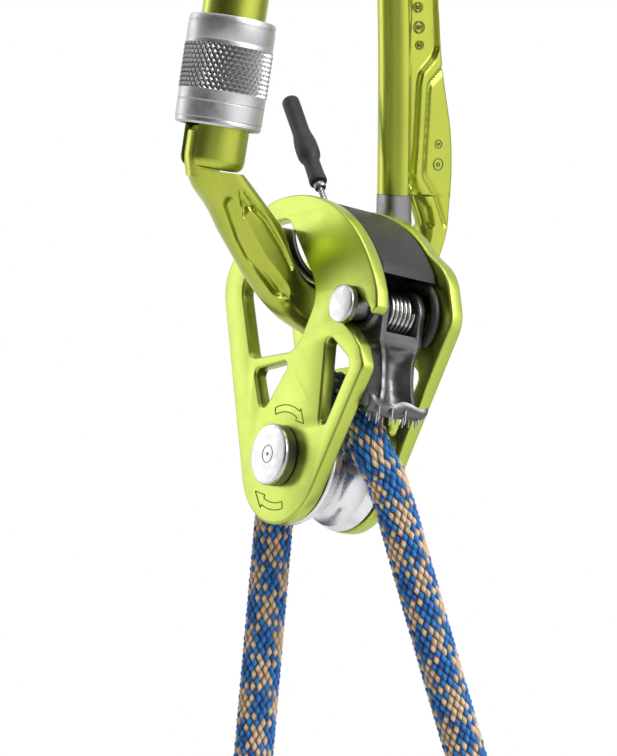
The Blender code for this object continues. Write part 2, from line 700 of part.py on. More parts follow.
def carabiner_body():
    rings = []
    for run in carabiner_runs():
        rings += [section_ring(row) for row in smooth_run(run, 2)]
    body = placed("carabiner_body", loft("carabiner_body", rings), CARABINER, GREEN)
    combine(body, nose(), "UNION")
    pin_hole = cylinder(GATE_PIN_RADIUS + GAP, -9, 9, 16)
    combine(body, placed("cut_tongue_hole", pin_hole, GATE, None, axis_rotation((0, 1, 0))))


def nose():
    """The nose: an upright web on the limb's end that stands in the gate's slot."""
    web = [(NOSE_EDGE_X, -NOSE_HALF_WIDTH, 1.2), (NOSE_END_X, -NOSE_HALF_WIDTH),
           (NOSE_END_X, NOSE_HALF_WIDTH), (NOSE_EDGE_X, NOSE_HALF_WIDTH, 1.2)]
    height = NOSE_TOP - NOSE_ROOT
    upright = at(0, 0, (NOSE_TOP + NOSE_ROOT) / 2) @ Matrix.Rotation(math.radians(90), 4, "X")
    return placed("join_nose", slab("nose", [rounded(web)], height, 0.5), GATE, None, upright)


def wear_insert():
    """Steel bar on the basket's inner side, which the pulley's plates hang on.

    It is a full bar at the spine's end and thins to a liner along the body's front half.
    """
    cx, cz = INSERT_CENTRE
    inside = INSERT_BEND - INSERT_RADIUS
    full = 2 * INSERT_RADIUS
    rows = [((cx + inside, 3.5), (1.0, 0.0), full), ((cx + inside, 1.0), (1.0, 0.0), full)]
    depths = [(angle, full) for angle in range(0, -90, -10)]
    depths += [(-92, 5.4), (-98, 3.0)] + [(angle, LINER_DEPTH) for angle in range(-106, -170, -9)]
    for degrees, depth in depths:
        outward = polar(1.0, degrees)
        rows.append(((cx + inside * outward[0], cz + inside * outward[1]), outward, depth))
    rings = [bar_ring(inner, outward, depth) for inner, outward, depth in rows]
    placed("wear_insert", loft("wear_insert", rings), CARABINER, STEEL)


def bar_ring(inner, outward, depth):
    """An eight-sided section, INSERT_RADIUS to each side, from its inner face outwards."""
    half = INSERT_RADIUS
    cut = min(depth * 0.3, half * 0.55)
    side = [(0.0, half * 0.42), (cut, half), (depth - cut, half), (depth, half * 0.42)]
    both = side + [(u, -n) for u, n in reversed(side)]
    return [(inner[0] + outward[0] * u, n, inner[1] + outward[1] * u) for u, n in both]


def gate():
    r = GATE_RADIUS
    low = GATE_BOTTOM
    profile = [(0, GATE_TOP), (3.6, GATE_TOP), (5.6, GATE_TOP - 1.0), (r, 0.8), (r, low + 1.2), (r - 1.2, low),
               (0, low)]
    body = turned("gate", profile, GATE, GREEN, Matrix.Identity(4), 32, closed=False)
    fork = block((-9, -FORK_HALF_WIDTH, -8.0), (9, FORK_HALF_WIDTH, 9))
    combine(body, placed("cut_gate_fork", fork, GATE))
    slot_half = NOSE_HALF_WIDTH + 0.35
    slot = block((-9, -slot_half, low - 3), (NOSE_END_X + 0.4, slot_half, NOSE_TOP + 0.4))
    combine(body, placed("cut_gate_slot", slot, GATE))
    combine(body, placed("cut_plunger_bore", cylinder(PLUNGER_RADIUS + GAP, -24.0, -7.0, 16), GATE))
    across = axis_rotation((0, 1, 0))
    pin_hole = cylinder(GATE_PIN_RADIUS + GAP, -9, 9, 16)
    combine(body, placed("cut_gate_pin_hole", pin_hole, GATE, None, across))
    gate_insides(across)


def gate_insides(across):
    """The gate's pin, and the sprung plunger inside the gate that pushes on the hinge tongue."""
    pin = cylinder(GATE_PIN_RADIUS, -5.9, 5.9, 16, "gate_pin")
    shade_round(pin)
    placed("gate_pin", pin, GATE, STEEL, across)
    r = PLUNGER_RADIUS
    plunger = [(0, -6.9), (0.9, -7.0), (1.6, -7.6), (r, -8.4), (r, -12.0), (0, -12.0)]
    turned("gate_plunger", plunger, GATE, STEEL, Matrix.Identity(4), 14, closed=False)
    points = [(x, z, -18.0 - y) for x, y, z in coil(1.4, -5.2, 5.0, 6, 8)]
    placed("gate_spring", tube("gate_spring", points, 0.3, 1), GATE, SPRING_STEEL)


def sleeve():
    r = SLEEVE_RADIUS
    top, low = SLEEVE_TOP, SLEEVE_BOTTOM
    profile = [(r - 1.1, top), (r - 0.25, top - 0.9), (r - 0.25, top - 4.2), (r - 0.1, top - 4.5),
               (r - 0.1, top - 6.6), (r, top - 7.0), (r, low + 6.6), (r - 0.1, low + 6.2),
               (r - 0.1, low + 3.6), (r - 0.2, low + 3.3), (r - 0.2, low + 0.9), (r - 0.7, low),
               (7.3, low), (7.3, low + 9.0), (GATE_RADIUS + 0.35, low + 10.0), (GATE_RADIUS + 0.35, top)]
    turned("sleeve", profile, GATE, SILVER, Matrix.Identity(4), 36)


# ---------------------------------------------------------------- assembly

def carabiner_matrix():
    """The carabiner's frame in the pulley's frame."""
    up = Vector((math.sin(CARABINER_TILT), 0, math.cos(CARABINER_TILT)))
    rear = Vector((0, 1, 0))
    across = rear * math.cos(CARABINER_LEAN) + up * math.sin(CARABINER_LEAN)
    along = up * math.cos(CARABINER_LEAN) - rear * math.sin(CARABINER_LEAN)
    turn = Matrix((across, along.cross(across), along)).transposed().to_4x4()
    return at(*BASKET_CENTRE) @ turn


clear_scene()
PARTS = new_collection("Rope clamp pulley")
CUTTERS = new_collection("Cutters")

GREEN = material("green_anodised", (0.42, 0.52, 0.06), 0.32, 0.9)
POLISHED = material("polished_aluminium", (0.82, 0.82, 0.84), 0.16, 1.0)
STEEL = material("bright_steel", (0.72, 0.72, 0.74), 0.22, 1.0)
DARK_STEEL = material("dark_steel", (0.15, 0.15, 0.16), 0.42, 0.9)
SPRING_STEEL = material("spring_steel", (0.6, 0.6, 0.6), 0.25, 1.0)
SILVER = material("satin_silver", (0.7, 0.7, 0.71), 0.35, 1.0)
BLACK = material("black_plastic", (0.05, 0.05, 0.055), 0.6, 0.0)
RUBBER = material("black_rubber", (0.04, 0.04, 0.045), 0.75, 0.0)
CABLE_STEEL = material("cable_steel", (0.35, 0.35, 0.36), 0.45, 1.0)
ROPE = material("rope", (0.1, 0.3, 0.65), 0.9, 0.0)

IN_PULLEY = carabiner_matrix()
CROWN_POINT = IN_PULLEY @ (Vector((CROWN_CENTRE[0], 0, CROWN_CENTRE[1] + CROWN_INSIDE)) * MM)
DEVICE = empty("pulley_frame", Matrix.Translation(-CROWN_POINT))
CARABINER = empty("carabiner_frame", IN_PULLEY, DEVICE)
GATE = empty("gate_frame", at(GATE_PIN[0], 0, GATE_PIN[1]) @ Matrix.Rotation(GATE_SLANT, 4, "Y"), CARABINER)
CAM_FRAME = empty("cam_frame", at(CAM_AXLE_X, 0, CAM_AXLE_Z), DEVICE)
CABLE_FRAME = empty("cable_frame", at(*CABLE_EXIT) @ axis_rotation(cable_direction()), DEVICE)

plate("front_plate", front_outline(), -1)
plate("rear_plate", rear_outline(), 1)
sheave()
bearing()
sheave_axle()
cam_axle()
cam()
cam_spring()
inner_cable()
cover()
release_cable()
rope()
carabiner_body()
wear_insert()
gate()
sleeve()
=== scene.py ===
"""Visual layer of the rope clamp pulley on its carabiner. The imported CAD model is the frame.

Shapes are drawn in millimetres, in the same local frames as the part, then set in the CAD frame in metres.
"""
from math import atan2, ceil, copysign, cos, degrees, exp, floor, hypot, pi, radians, sin, tan, tau

import bmesh
import bpy
from mathutils import Matrix, Vector


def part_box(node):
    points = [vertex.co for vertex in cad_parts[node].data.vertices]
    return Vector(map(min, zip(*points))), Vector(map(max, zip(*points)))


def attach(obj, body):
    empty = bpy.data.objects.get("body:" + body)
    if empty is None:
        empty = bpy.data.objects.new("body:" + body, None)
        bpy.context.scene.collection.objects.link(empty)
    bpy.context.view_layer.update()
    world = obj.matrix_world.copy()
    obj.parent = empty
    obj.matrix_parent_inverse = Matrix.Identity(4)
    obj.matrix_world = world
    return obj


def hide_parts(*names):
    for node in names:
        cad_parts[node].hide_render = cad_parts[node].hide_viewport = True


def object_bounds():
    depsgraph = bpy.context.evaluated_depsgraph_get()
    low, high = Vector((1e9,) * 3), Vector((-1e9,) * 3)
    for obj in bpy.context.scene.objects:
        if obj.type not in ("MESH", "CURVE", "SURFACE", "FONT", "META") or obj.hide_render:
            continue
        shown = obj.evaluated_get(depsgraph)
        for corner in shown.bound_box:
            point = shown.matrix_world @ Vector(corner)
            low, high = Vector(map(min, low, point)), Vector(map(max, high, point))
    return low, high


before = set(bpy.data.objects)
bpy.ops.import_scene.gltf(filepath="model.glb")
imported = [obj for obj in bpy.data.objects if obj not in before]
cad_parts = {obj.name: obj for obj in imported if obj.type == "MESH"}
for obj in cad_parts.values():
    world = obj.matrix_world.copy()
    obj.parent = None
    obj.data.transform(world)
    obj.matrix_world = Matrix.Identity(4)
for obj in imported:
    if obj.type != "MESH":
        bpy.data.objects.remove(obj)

MM = 0.001
CAD_BOX = [list(corner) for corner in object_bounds()]
CAM_AXLE = (18.4, 28.4)  # X and Z from the sheave's axle


# ---------------- frames

def move(x, y, z):
    return Matrix.Translation(Vector((x, y, z)) * MM)


def turn_to(axis):
    return Vector(axis).normalized().to_track_quat("Z", "Y").to_matrix().to_4x4()


def carabiner_frame():
    tilt, lean = radians(13.4), radians(13.6)
    up = Vector((sin(tilt), 0, cos(tilt)))
    rear = Vector((0, 1, 0))
    across = rear * cos(lean) + up * sin(lean)
    along = up * cos(lean) - rear * sin(lean)
    return move(-1.35, 1.0, 50.8) @ Matrix((across, along.cross(across), along)).transposed().to_4x4()


low, high = (Vector(corner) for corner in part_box("sheave"))
DEVICE = Matrix.Translation((low + high) / 2)
CARABINER = DEVICE @ carabiner_frame()
GATE = CARABINER @ move(-21.6, 0, 69.0) @ Matrix.Rotation(radians(9), 4, "Y")
CAM = DEVICE @ move(CAM_AXLE[0], 0, CAM_AXLE[1])
CABLE_LEAN = radians(33)
CABLE = DEVICE @ move(-0.4, -4.0, 53.0) @ turn_to((-sin(CABLE_LEAN), 0, cos(CABLE_LEAN)))
TO_REAR = turn_to((0, 1, 0))
TO_FRONT = turn_to((0, -1, 0))


# ---------------- camera, light and floor

CAMERA_AZIMUTH = radians(-35.4)
AMBIENT = 1.2  # strength of the room
FLOOR_HALF, FLOOR_DROP = 1.2, 0.35  # metres; the drop is below the CAD's lowest point


def placed(name, data):
    """A new object, linked to the scene."""
    obj = bpy.data.objects.new(name, data)
    bpy.context.scene.collection.objects.link(obj)
    return obj


def camera():
    data = bpy.data.cameras.new("camera")
    data.sensor_fit = "VERTICAL"
    data.sensor_height = 24.0
    data.lens = 57.14
    data.clip_start = 0.01
    obj = placed("camera", data)
    right = Vector((0.58724, 0.80510, 0.08347))
    up = Vector((0.06967, -0.15302, 0.98576))
    back = Vector((0.80641, -0.57307, -0.14595))
    place = DEVICE.translation + Vector((289.92, -210.66, -36.12)) * MM
    obj.matrix_world = Matrix.Translation(place) @ Matrix((right, up, back)).transposed().to_4x4()
    bpy.context.scene.camera = obj


def area_light(name, spot, aim, size, power):
    data = bpy.data.lights.new(name, "AREA")
    data.shape = "RECTANGLE"
    data.size, data.size_y = size
    data.energy = power
    spot, aim = Vector(spot), Vector(aim)
    obj = placed(name, data)
    obj.matrix_world = Matrix.Translation(spot) @ turn_to(spot - aim)


def room():
    """Pale room with softboxes: bright from the front right and behind, shaded from the front left."""
    world = bpy.data.worlds.new("studio")
    bpy.context.scene.world = world
    world.use_nodes = True
    tree = world.node_tree
    link = tree.links.new
    coords = node(tree, "ShaderNodeTexCoord")
    turned = node(tree, "ShaderNodeVectorRotate", rotation_type="Z_AXIS", Angle=-CAMERA_AZIMUTH)
    split = node(tree, "ShaderNodeSeparateXYZ")
    link(coords.outputs["Generated"], turned.inputs["Vector"])
    link(turned.outputs["Vector"], split.inputs["Vector"])
    angle = node(tree, "ShaderNodeMath", operation="ARCTAN2")
    link(split.outputs["Y"], angle.inputs[0])
    link(split.outputs["X"], angle.inputs[1])
    around = spread(tree, angle.outputs["Value"], 0.0, 1.0, -pi, pi)
    ramp = node(tree, "ShaderNodeValToRGB")
    stops = ((0.0, 0.8), (0.13, 0.66), (0.20, 0.38), (0.29, 0.17), (0.36, 0.05), (0.49, 0.04), (0.54, 0.25),
             (0.60, 0.8), (0.66, 1.0), (0.73, 1.0), (0.80, 0.25), (0.87, 0.6), (1.0, 0.8))
    elements = ramp.color_ramp.elements
    while len(elements) < len(stops):
        elements.new(0.5)
    for element, (place, grey) in zip(elements, stops):
        element.position = place
        element.color = (grey, grey, grey, 1)
    link(around, ramp.inputs["Fac"])
    above = spread(tree, split.outputs["Z"], 0.0, 1.0, 0.35, 0.95, "SMOOTHSTEP")
    low, high, mixed = color_mix(tree, above)
    link(ramp.outputs["Color"], low)
    high.default_value = (0.6, 0.6, 0.6, 1)
    lit = tree.nodes["Background"]
    link(mixed, lit.inputs["Color"])
    lit.inputs["Strength"].default_value = AMBIENT
    seen = node(tree, "ShaderNodeBackground", Color=(1, 1, 1, 1))
    path = node(tree, "ShaderNodeLightPath")
    pick = node(tree, "ShaderNodeMixShader")
    link(path.outputs["Is Camera Ray"], pick.inputs["Fac"])
    link(lit.outputs["Background"], pick.inputs[1])
    link(seen.outputs["Background"], pick.inputs[2])
    link(pick.outputs["Shader"], tree.nodes["World Output"].inputs["Surface"])


def studio():
    bpy.context.scene.view_settings.view_transform = "Standard"
    room()
    centre = (DEVICE.translation.x, DEVICE.translation.y, DEVICE.translation.z + 0.03)
    area_light("key", (0.62, 0.16, 0.32), centre, (0.35, 0.55), 4.2)
    area_light("rim", (-0.62, -0.38, 0.12), centre, (0.3, 0.8), 1.2)
    area_light("top", (0.10, -0.20, 0.75), centre, (0.5, 0.5), 2.0)
    mesh = bpy.data.meshes.new("floor")
    half, height = FLOOR_HALF, CAD_BOX[0][2] - FLOOR_DROP
    corners = [(x * half, y * half, height) for x, y in ((-1, -1), (1, -1), (1, 1), (-1, 1))]
    mesh.from_pydata(corners, [], [(0, 1, 2, 3)])
    obj = placed("floor", mesh)
    mesh.materials.append(principled("floor_white", (0.93, 0.93, 0.93), 0.7)[0])


# ---------------- materials

def principled(name, color, roughness, metallic=0.0, **sockets):
    mat = bpy.data.materials.new(name)
    mat.use_nodes = True
    shader = mat.node_tree.nodes["Principled BSDF"]
    shader.inputs["Base Color"].default_value = (*color, 1.0)
    shader.inputs["Roughness"].default_value = roughness
    shader.inputs["Metallic"].default_value = metallic
    for socket, value in sockets.items():
        shader.inputs[socket.replace("_", " ")].default_value = value
    return mat, mat.node_tree, shader


def node(tree, kind, **values):
    made = tree.nodes.new(kind)
    for key, value in values.items():
        socket = key.replace("_", " ")
        if socket in made.inputs:
            made.inputs[socket].default_value = value
        else:
            setattr(made, key, value)
    return made


def noise(tree, scale, detail=3.0, stretch=None):
    """Noise in object space. scale is features per metre."""
    place = node(tree, "ShaderNodeTexCoord").outputs["Object"]
    tex = node(tree, "ShaderNodeTexNoise", Scale=scale, Detail=detail)
    if stretch:
        scaling = node(tree, "ShaderNodeMapping", Scale=stretch)
        tree.links.new(place, scaling.inputs["Vector"])
        place = scaling.outputs["Vector"]
    tree.links.new(place, tex.inputs["Vector"])
    return tex.outputs["Fac"]


def spread(tree, value, low, high, start=0.3, end=0.7, shape="LINEAR"):
    """A value carried from start..end over to low..high."""
    span = node(tree, "ShaderNodeMapRange", interpolation_type=shape, From_Min=start, From_Max=end, To_Min=low,
                To_Max=high)
    tree.links.new(value, span.inputs["Value"])
    return span.outputs["Result"]


def bump(tree, shader, value, strength, distance):
    made = node(tree, "ShaderNodeBump", Strength=strength, Distance=distance)
    tree.links.new(value, made.inputs["Height"])
    old = shader.inputs["Normal"].links
    if old:
        tree.links.new(old[0].from_socket, made.inputs["Normal"])
    tree.links.new(made.outputs["Normal"], shader.inputs["Normal"])


def color_mix(tree, factor):
    """The two colour inputs and the output of a mix driven by factor."""
    mix = node(tree, "ShaderNodeMix", data_type="RGBA")
    tree.links.new(factor, mix.inputs[0])
    colors = [socket for socket in mix.inputs if socket.type == "RGBA"]
    return colors[0], colors[1], next(socket for socket in mix.outputs if socket.type == "RGBA")


def tint(tree, shader, value, color, dark, light):
    """Base colour that runs from color times dark to color times light."""
    low, high, mixed = color_mix(tree, value)
    low.default_value = (*[c * dark for c in color], 1)
    high.default_value = (*[min(1, c * light) for c in color], 1)
    tree.links.new(mixed, shader.inputs["Base Color"])


def uneven(tree, shader, scale, detail, low, high):
    """Roughness that wanders between two values."""
    tree.links.new(spread(tree, noise(tree, scale, detail), low, high), shader.inputs["Roughness"])


def anodised(name, color, roughness):
    """Satin dyed aluminium: fine blasted grain, faint patches, and hairline scuffs."""
    mat, tree, shader = principled(name, color, roughness, 1.0, Coat_Weight=0.22, Coat_Roughness=0.34)
    tint(tree, shader, spread(tree, noise(tree, 55, 4), 0.0, 1.0), color, 0.93, 1.06)
    uneven(tree, shader, 240, 5, roughness - 0.02, roughness + 0.03)
    bump(tree, shader, noise(tree, 5200, 3), 0.10, 0.00006)
    bump(tree, shader, noise(tree, 420, 4, (1, 1, 14)), 0.02, 0.0001)
    return mat


def turned_metal(name, color, roughness, grain=0.06):
    mat, tree, shader = principled(name, color, roughness, 1.0)
    uneven(tree, shader, 600, 4, roughness - 0.05, roughness + 0.08)
    bump(tree, shader, noise(tree, 2600, 4), grain, 0.00008)
    bump(tree, shader, noise(tree, 300, 3, (1, 9, 1)), grain, 0.0001)
    return mat


def cast(name, color, roughness):
    mat, tree, shader = principled(name, color, roughness, 0.85)
    tint(tree, shader, spread(tree, noise(tree, 130, 4), 0, 1), color, 0.85, 1.15)
    uneven(tree, shader, 500, 4, roughness - 0.07, roughness + 0.1)
    bump(tree, shader, noise(tree, 3400, 4), 0.25, 0.00009)
    bump(tree, shader, noise(tree, 500, 3), 0.12, 0.0003)
    return mat


def moulded(name, color, roughness, grain):
    mat, tree, shader = principled(name, color, roughness, 0.0, Specular_IOR_Level=0.45)
    tint(tree, shader, spread(tree, noise(tree, 90, 4), 0, 1), color, 0.85, 1.2)
    uneven(tree, shader, 900, 3, roughness - 0.06, roughness + 0.08)
    bump(tree, shader, noise(tree, 3800, 2), grain, 0.00012)
    return mat


def yarn(name, color):
    """Spun polyamide: fibres along each yarn, with a soft sheen, and painted shade that darkens the colour down
    between the yarns.
    """
    mat, tree, shader = principled(name, color, 0.72, 0.0, Sheen_Weight=0.25, Sheen_Roughness=0.4)
    link = tree.links.new
    uv = node(tree, "ShaderNodeUVMap", uv_map="yarn")
    fibre = node(tree, "ShaderNodeTexWave", Scale=1.1, Distortion=1.6, Detail=2.0, bands_direction="X")
    link(uv.outputs["UV"], fibre.inputs["Vector"])
    mixed = node(tree, "ShaderNodeMath", operation="MULTIPLY_ADD")
    mixed.inputs[1].default_value = 0.6
    link(fibre.outputs["Fac"], mixed.inputs[0])
    link(spread(tree, noise(tree, 420, 4), 0.35, 0.8), mixed.inputs[2])
    # Painted shade: the crown attribute, the braid's surface height, darkens the base colour down in the valleys
    # between the yarns and leaves the crowns light; the fibre and noise tone ride on it.
    height = node(tree, "ShaderNodeAttribute", attribute_name="crown")
    shade = node(tree, "ShaderNodeMath", operation="MULTIPLY", use_clamp=True)
    link(mixed.outputs["Value"], shade.inputs[0])
    link(height.outputs["Fac"], shade.inputs[1])
    tint(tree, shader, shade.outputs["Value"], color, 0.16, 1.3)
    bump(tree, shader, fibre.outputs["Fac"], 0.5, 0.00015)
    bump(tree, shader, noise(tree, 5000, 2), 0.2, 0.0001)
    return mat


GREEN = anodised("green_anodised", (0.47, 0.53, 0.07), 0.30)
PLATE_GREEN = anodised("green_plate", (0.50, 0.60, 0.10), 0.33)
POLISHED = turned_metal("polished_aluminium", (0.78, 0.78, 0.79), 0.24, 0.04)
STEEL = turned_metal("bright_steel", (0.60, 0.60, 0.61), 0.27)
HEAD_SIDE = turned_metal("head_side_steel", (0.20, 0.20, 0.205), 0.3)
SPRING = turned_metal("spring_steel", (0.52, 0.52, 0.51), 0.2, 0.03)
SATIN = turned_metal("satin_silver", (0.60, 0.60, 0.61), 0.40, 0.08)
KNURL = turned_metal("knurled_silver", (0.40, 0.40, 0.41), 0.28, 0.02)
BAR_STEEL = turned_metal("insert_steel", (0.27, 0.27, 0.28), 0.36)
CABLE_STEEL = turned_metal("cable_steel", (0.38, 0.38, 0.39), 0.35)
DARK_STEEL = cast("dark_cast_steel", (0.15, 0.15, 0.155), 0.31)
BLACK = moulded("black_moulding", (0.022, 0.0225, 0.0235), 0.48, 0.35)
SHEATH = moulded("cable_sheath", (0.022, 0.022, 0.023), 0.42, 0.2)
RUBBER = moulded("black_rubber", (0.022, 0.022, 0.023), 0.55, 0.3)
MARK = moulded("engraved_line", (0.13, 0.17, 0.02), 0.6, 0.2)
HEAD_MARK = moulded("head_mark", (0.28, 0.28, 0.28), 0.5, 0.2)
BLUE = yarn("rope_blue", (0.016, 0.20, 0.60))
NAVY = yarn("rope_navy", (0.012, 0.10, 0.36))
TAN = yarn("rope_tan", (0.76, 0.55, 0.36))


# ---------------- mesh helpers

def piece(name, mesh, matrix, body, mats, replaces=(), smooth=40.0):
    """Sets a mesh in millimetres on its body. Edges past smooth degrees stay sharp."""
    mesh.transform(Matrix.Diagonal((MM, MM, MM, 1)))
    mesh.transform(matrix)
    for mat in (mats if isinstance(mats, list) else [mats]):
        mesh.materials.append(mat)
    mesh.shade_smooth()
    mesh.set_sharp_from_angle(angle=radians(smooth))
    obj = placed(name, mesh)
    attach(obj, body)
    if replaces:
        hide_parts(*replaces)
    return obj


def to_mesh(bm, outward=True):
    if outward:
        bmesh.ops.recalc_face_normals(bm, faces=bm.faces)
    mesh = bpy.data.meshes.new("piece")
    bm.to_mesh(mesh)
    bm.free()
    return mesh


def joined(meshes):
    bm = bmesh.new()
    for mesh in meshes:
        bm.from_mesh(mesh)
    return to_mesh(bm, outward=False)


def turns(count):
    """Angles of points spread evenly round a circle."""
    return [tau * i / count for i in range(count)]


def at(radius, angle, x=0.0, y=0.0):
    """A place at a radius and an angle in radians."""
    return x + radius * cos(angle), y + radius * sin(angle)


def polar(radius, bearing, centre=(0.0, 0.0)):
    """A place at a radius and a bearing in degrees."""
    return at(radius, radians(bearing), *centre)


def arc(cx, cz, radius, start, end, step=3.0):
    count = max(2, ceil(abs(end - start) / step))
    return [polar(radius, start + (end - start) * i / count, (cx, cz)) for i in range(count + 1)]


def rounded(corners, step=6.0):
    outline = []
    for i, corner in enumerate(corners):
        here = Vector(corner[:2])
        radius = corner[2] if len(corner) > 2 else 0.0
        if radius == 0.0:
            outline.append(tuple(here))
            continue
        back = (Vector(corners[i - 1][:2]) - here).normalized()
        ahead = (Vector(corners[(i + 1) % len(corners)][:2]) - here).normalized()
        half = back.angle(ahead) / 2
        centre = here + (back + ahead).normalized() * (radius / sin(half))
        reach = radius / tan(half)
        start = here + back * reach - centre
        turn = start.angle_signed(here + ahead * reach - centre)
        count = max(1, ceil(abs(degrees(turn)) / step))
        first = atan2(start.y, start.x)
        for k in range(count + 1):
            outline.append(at(radius, first - turn * k / count, *centre))
    return outline


def from_curve(curve):
    source = placed("source", curve)
    depsgraph = bpy.context.evaluated_depsgraph_get()
    mesh = bpy.data.meshes.new_from_object(source.evaluated_get(depsgraph))
    bpy.data.objects.remove(source, do_unlink=True)
    bm = bmesh.new()
    bm.from_mesh(mesh)
    bmesh.ops.remove_doubles(bm, verts=bm.verts, dist=1e-4)
    return to_mesh(bm)


def polyline(curve, places, cyclic):
    spline = curve.splines.new("POLY")
    spline.points.add(len(places) - 1)
    spline.use_cyclic_u = cyclic
    for point, place in zip(spline.points, places):
        point.co = (*place, 1.0)


def curve_data(dimensions, bevel, resolution):
    curve = bpy.data.curves.new("curve", "CURVE")
    curve.dimensions = dimensions
    curve.bevel_depth = bevel
    curve.bevel_resolution = resolution
    return curve


def slab(outlines, thickness, bevel, resolution=3):
    """A flat solid in local XZ with rounded edges, thick along Y, in millimetres."""
    curve = curve_data("2D", bevel, resolution)
    curve.fill_mode = "BOTH"
    curve.extrude = thickness / 2 - bevel
    curve.offset = -bevel
    for outline in outlines:
        polyline(curve, [(x, z, 0.0) for x, z in outline], True)
    mesh = from_curve(curve)
    mesh.transform(Matrix.Rotation(radians(90), 4, "X"))
    return mesh


def tube(points, radius, resolution=5, cyclic=False):
    curve = curve_data("3D", radius, resolution)
    curve.use_fill_caps = not cyclic
    polyline(curve, points, cyclic)
    return from_curve(curve)


def lathe(profile, steps=96, closed=False):
    """A turned mesh about local Z through (radius, height) pairs."""
    bm = bmesh.new()
    rows = []
    for radius, height in profile:
        if radius == 0:
            rows.append([bm.verts.new((0, 0, height))])
        else:
            rows.append([bm.verts.new((*at(radius, a), height)) for a in turns(steps)])
    pairs = list(zip(rows, rows[1:])) + ([(rows[-1], rows[0])] if closed else [])
    for a, b in pairs:
        for i in range(steps):
            j = (i + 1) % steps
            corners = list(dict.fromkeys((a[i % len(a)], a[j % len(a)], b[j % len(b)], b[i % len(b)])))
            if len(corners) > 2:
                bm.faces.new(corners)
    return to_mesh(bm)


def quads(bm, a, b):
    """The quads between two rings of equally many vertices."""
    count = len(a)
    return [bm.faces.new((a[i], a[(i + 1) % count], b[(i + 1) % count], b[i])) for i in range(count)]


def loft(rings):
    """A capped mesh through rings of points."""
    bm = bmesh.new()
    rows = [[bm.verts.new(point) for point in ring] for ring in rings]
    for a, b in zip(rows, rows[1:]):
        quads(bm, a, b)
    bmesh.ops.triangulate(bm, faces=[bm.faces.new(rows[0][::-1]), bm.faces.new(rows[-1])])
    return to_mesh(bm)


def spans(points, parts_of):
    """Catmull-Rom curve through points, each span cut in the parts that parts_of gives for its ends."""
    rows = [points[0] * 2 - points[1]] + points + [points[-1] * 2 - points[-2]]
    result = []
    for a, b, c, d in zip(rows, rows[1:], rows[2:], rows[3:]):
        parts = parts_of(b, c)
        for t in (k / parts for k in range(parts)):
            result.append(0.5 * (2 * b + (c - a) * t + (2 * a - 5 * b + 4 * c - d) * t * t
                                 + (3 * b - a - 3 * c + d) * t ** 3))
    return result + [points[-1]]


def smooth_path(route, count):
    return even(spans([Vector(p) for p in route], lambda b, c: 24), count)


def even(fine, count):
    travelled = [0.0]
    for a, b in zip(fine, fine[1:]):
        travelled.append(travelled[-1] + (b - a).length)
    out = []
    i = 1
    for k in range(count):
        goal = travelled[-1] * k / (count - 1)
        while i < len(fine) - 1 and travelled[i] < goal:
            i += 1
        part = (goal - travelled[i - 1]) / max(1e-9, travelled[i] - travelled[i - 1])
        out.append(fine[i - 1].lerp(fine[i], min(1.0, max(0.0, part))))
    return out


def path_length(points):
    return sum((b - a).length for a, b in zip(points, points[1:]))


def eased(value, start, end):
    t = min(1.0, max(0.0, (value - start) / (end - start)))
    return t * t * (3 - 2 * t)


# ---------------- side plates

FOOT = 13.5  # radius of the plates' foot about the sheave's axle
TOP = (-6.0, 18.2, 35.3)  # centre and radius of their arched top
PLATE_Y, PLATE_THICKNESS, PLATE_EDGE = 8.5, 3.0, 0.55
AXLE_BORE, CAM_BORE = 4.3, 2.9
SLOT_HALF = 3.1  # half the width of the front plate's open slot
SHOULDER = [(-14.8, 52.2, 12.0), (-26.9, 38.6, 9.0)]


def windows():
    yield rounded([(-4.2, 48.6, 3.5), (8.4, 32.2, 7.0), (2.4, 20.9, 6.0), (-13.3, 20.5, 2.6),
                   (-18.9, 35.6, 5.0), (-13.6, 48.4, 5.0)])
    yield rounded([(-11.7, 18.1, 1.2), (0.9, 19.1, 1.0), (-7.8, 8.8, 1.6)])
    yield rounded([(12.1, 2.4, 1.2), (20.7, 17.3, 2.2), (12.2, 23.8, 1.4)])


def front_outline():
    reach, angle = hypot(*CAM_AXLE), degrees(atan2(CAM_AXLE[1], CAM_AXLE[0]))
    slot = arc(0, 0, reach - SLOT_HALF, 41.0, angle - 0.5, 2)
    slot += arc(*CAM_AXLE, SLOT_HALF, angle + 180, angle + 0.1, 6)
    slot += arc(0, 0, reach + SLOT_HALF, angle - 0.5, 47.0, 2)
    corners = arc(0, 0, FOOT, 198.4, 329.1) + [(21.6, 10.6), (24.9, 16.2, 2.2), *slot]
    corners += [(25.6, 25.4, 0.8), (27.6, 27.0, 1.0)] + arc(*TOP, 20.0, 96.0, 2)
    return rounded(corners + SHOULDER)


def rear_outline():
    side = [(29.6, 27.2, 7.0), (26.8, 37.0, 10.0)]
    return rounded(arc(0, 0, FOOT, 198.4, 331.6) + side + arc(*TOP, 42.0, 96.0, 2) + SHOULDER)


def arrow(start, end, inner, outer, head, tip_radius, tip_angle):
    """Outline of a curved block arrow about the sheave's axle."""
    side = arc(0, 0, outer, start, end) + [polar(outer + head, end)]
    other = [polar(inner - head, end)] + arc(0, 0, inner, end, start)
    return side + [polar(tip_radius, tip_angle)] + other


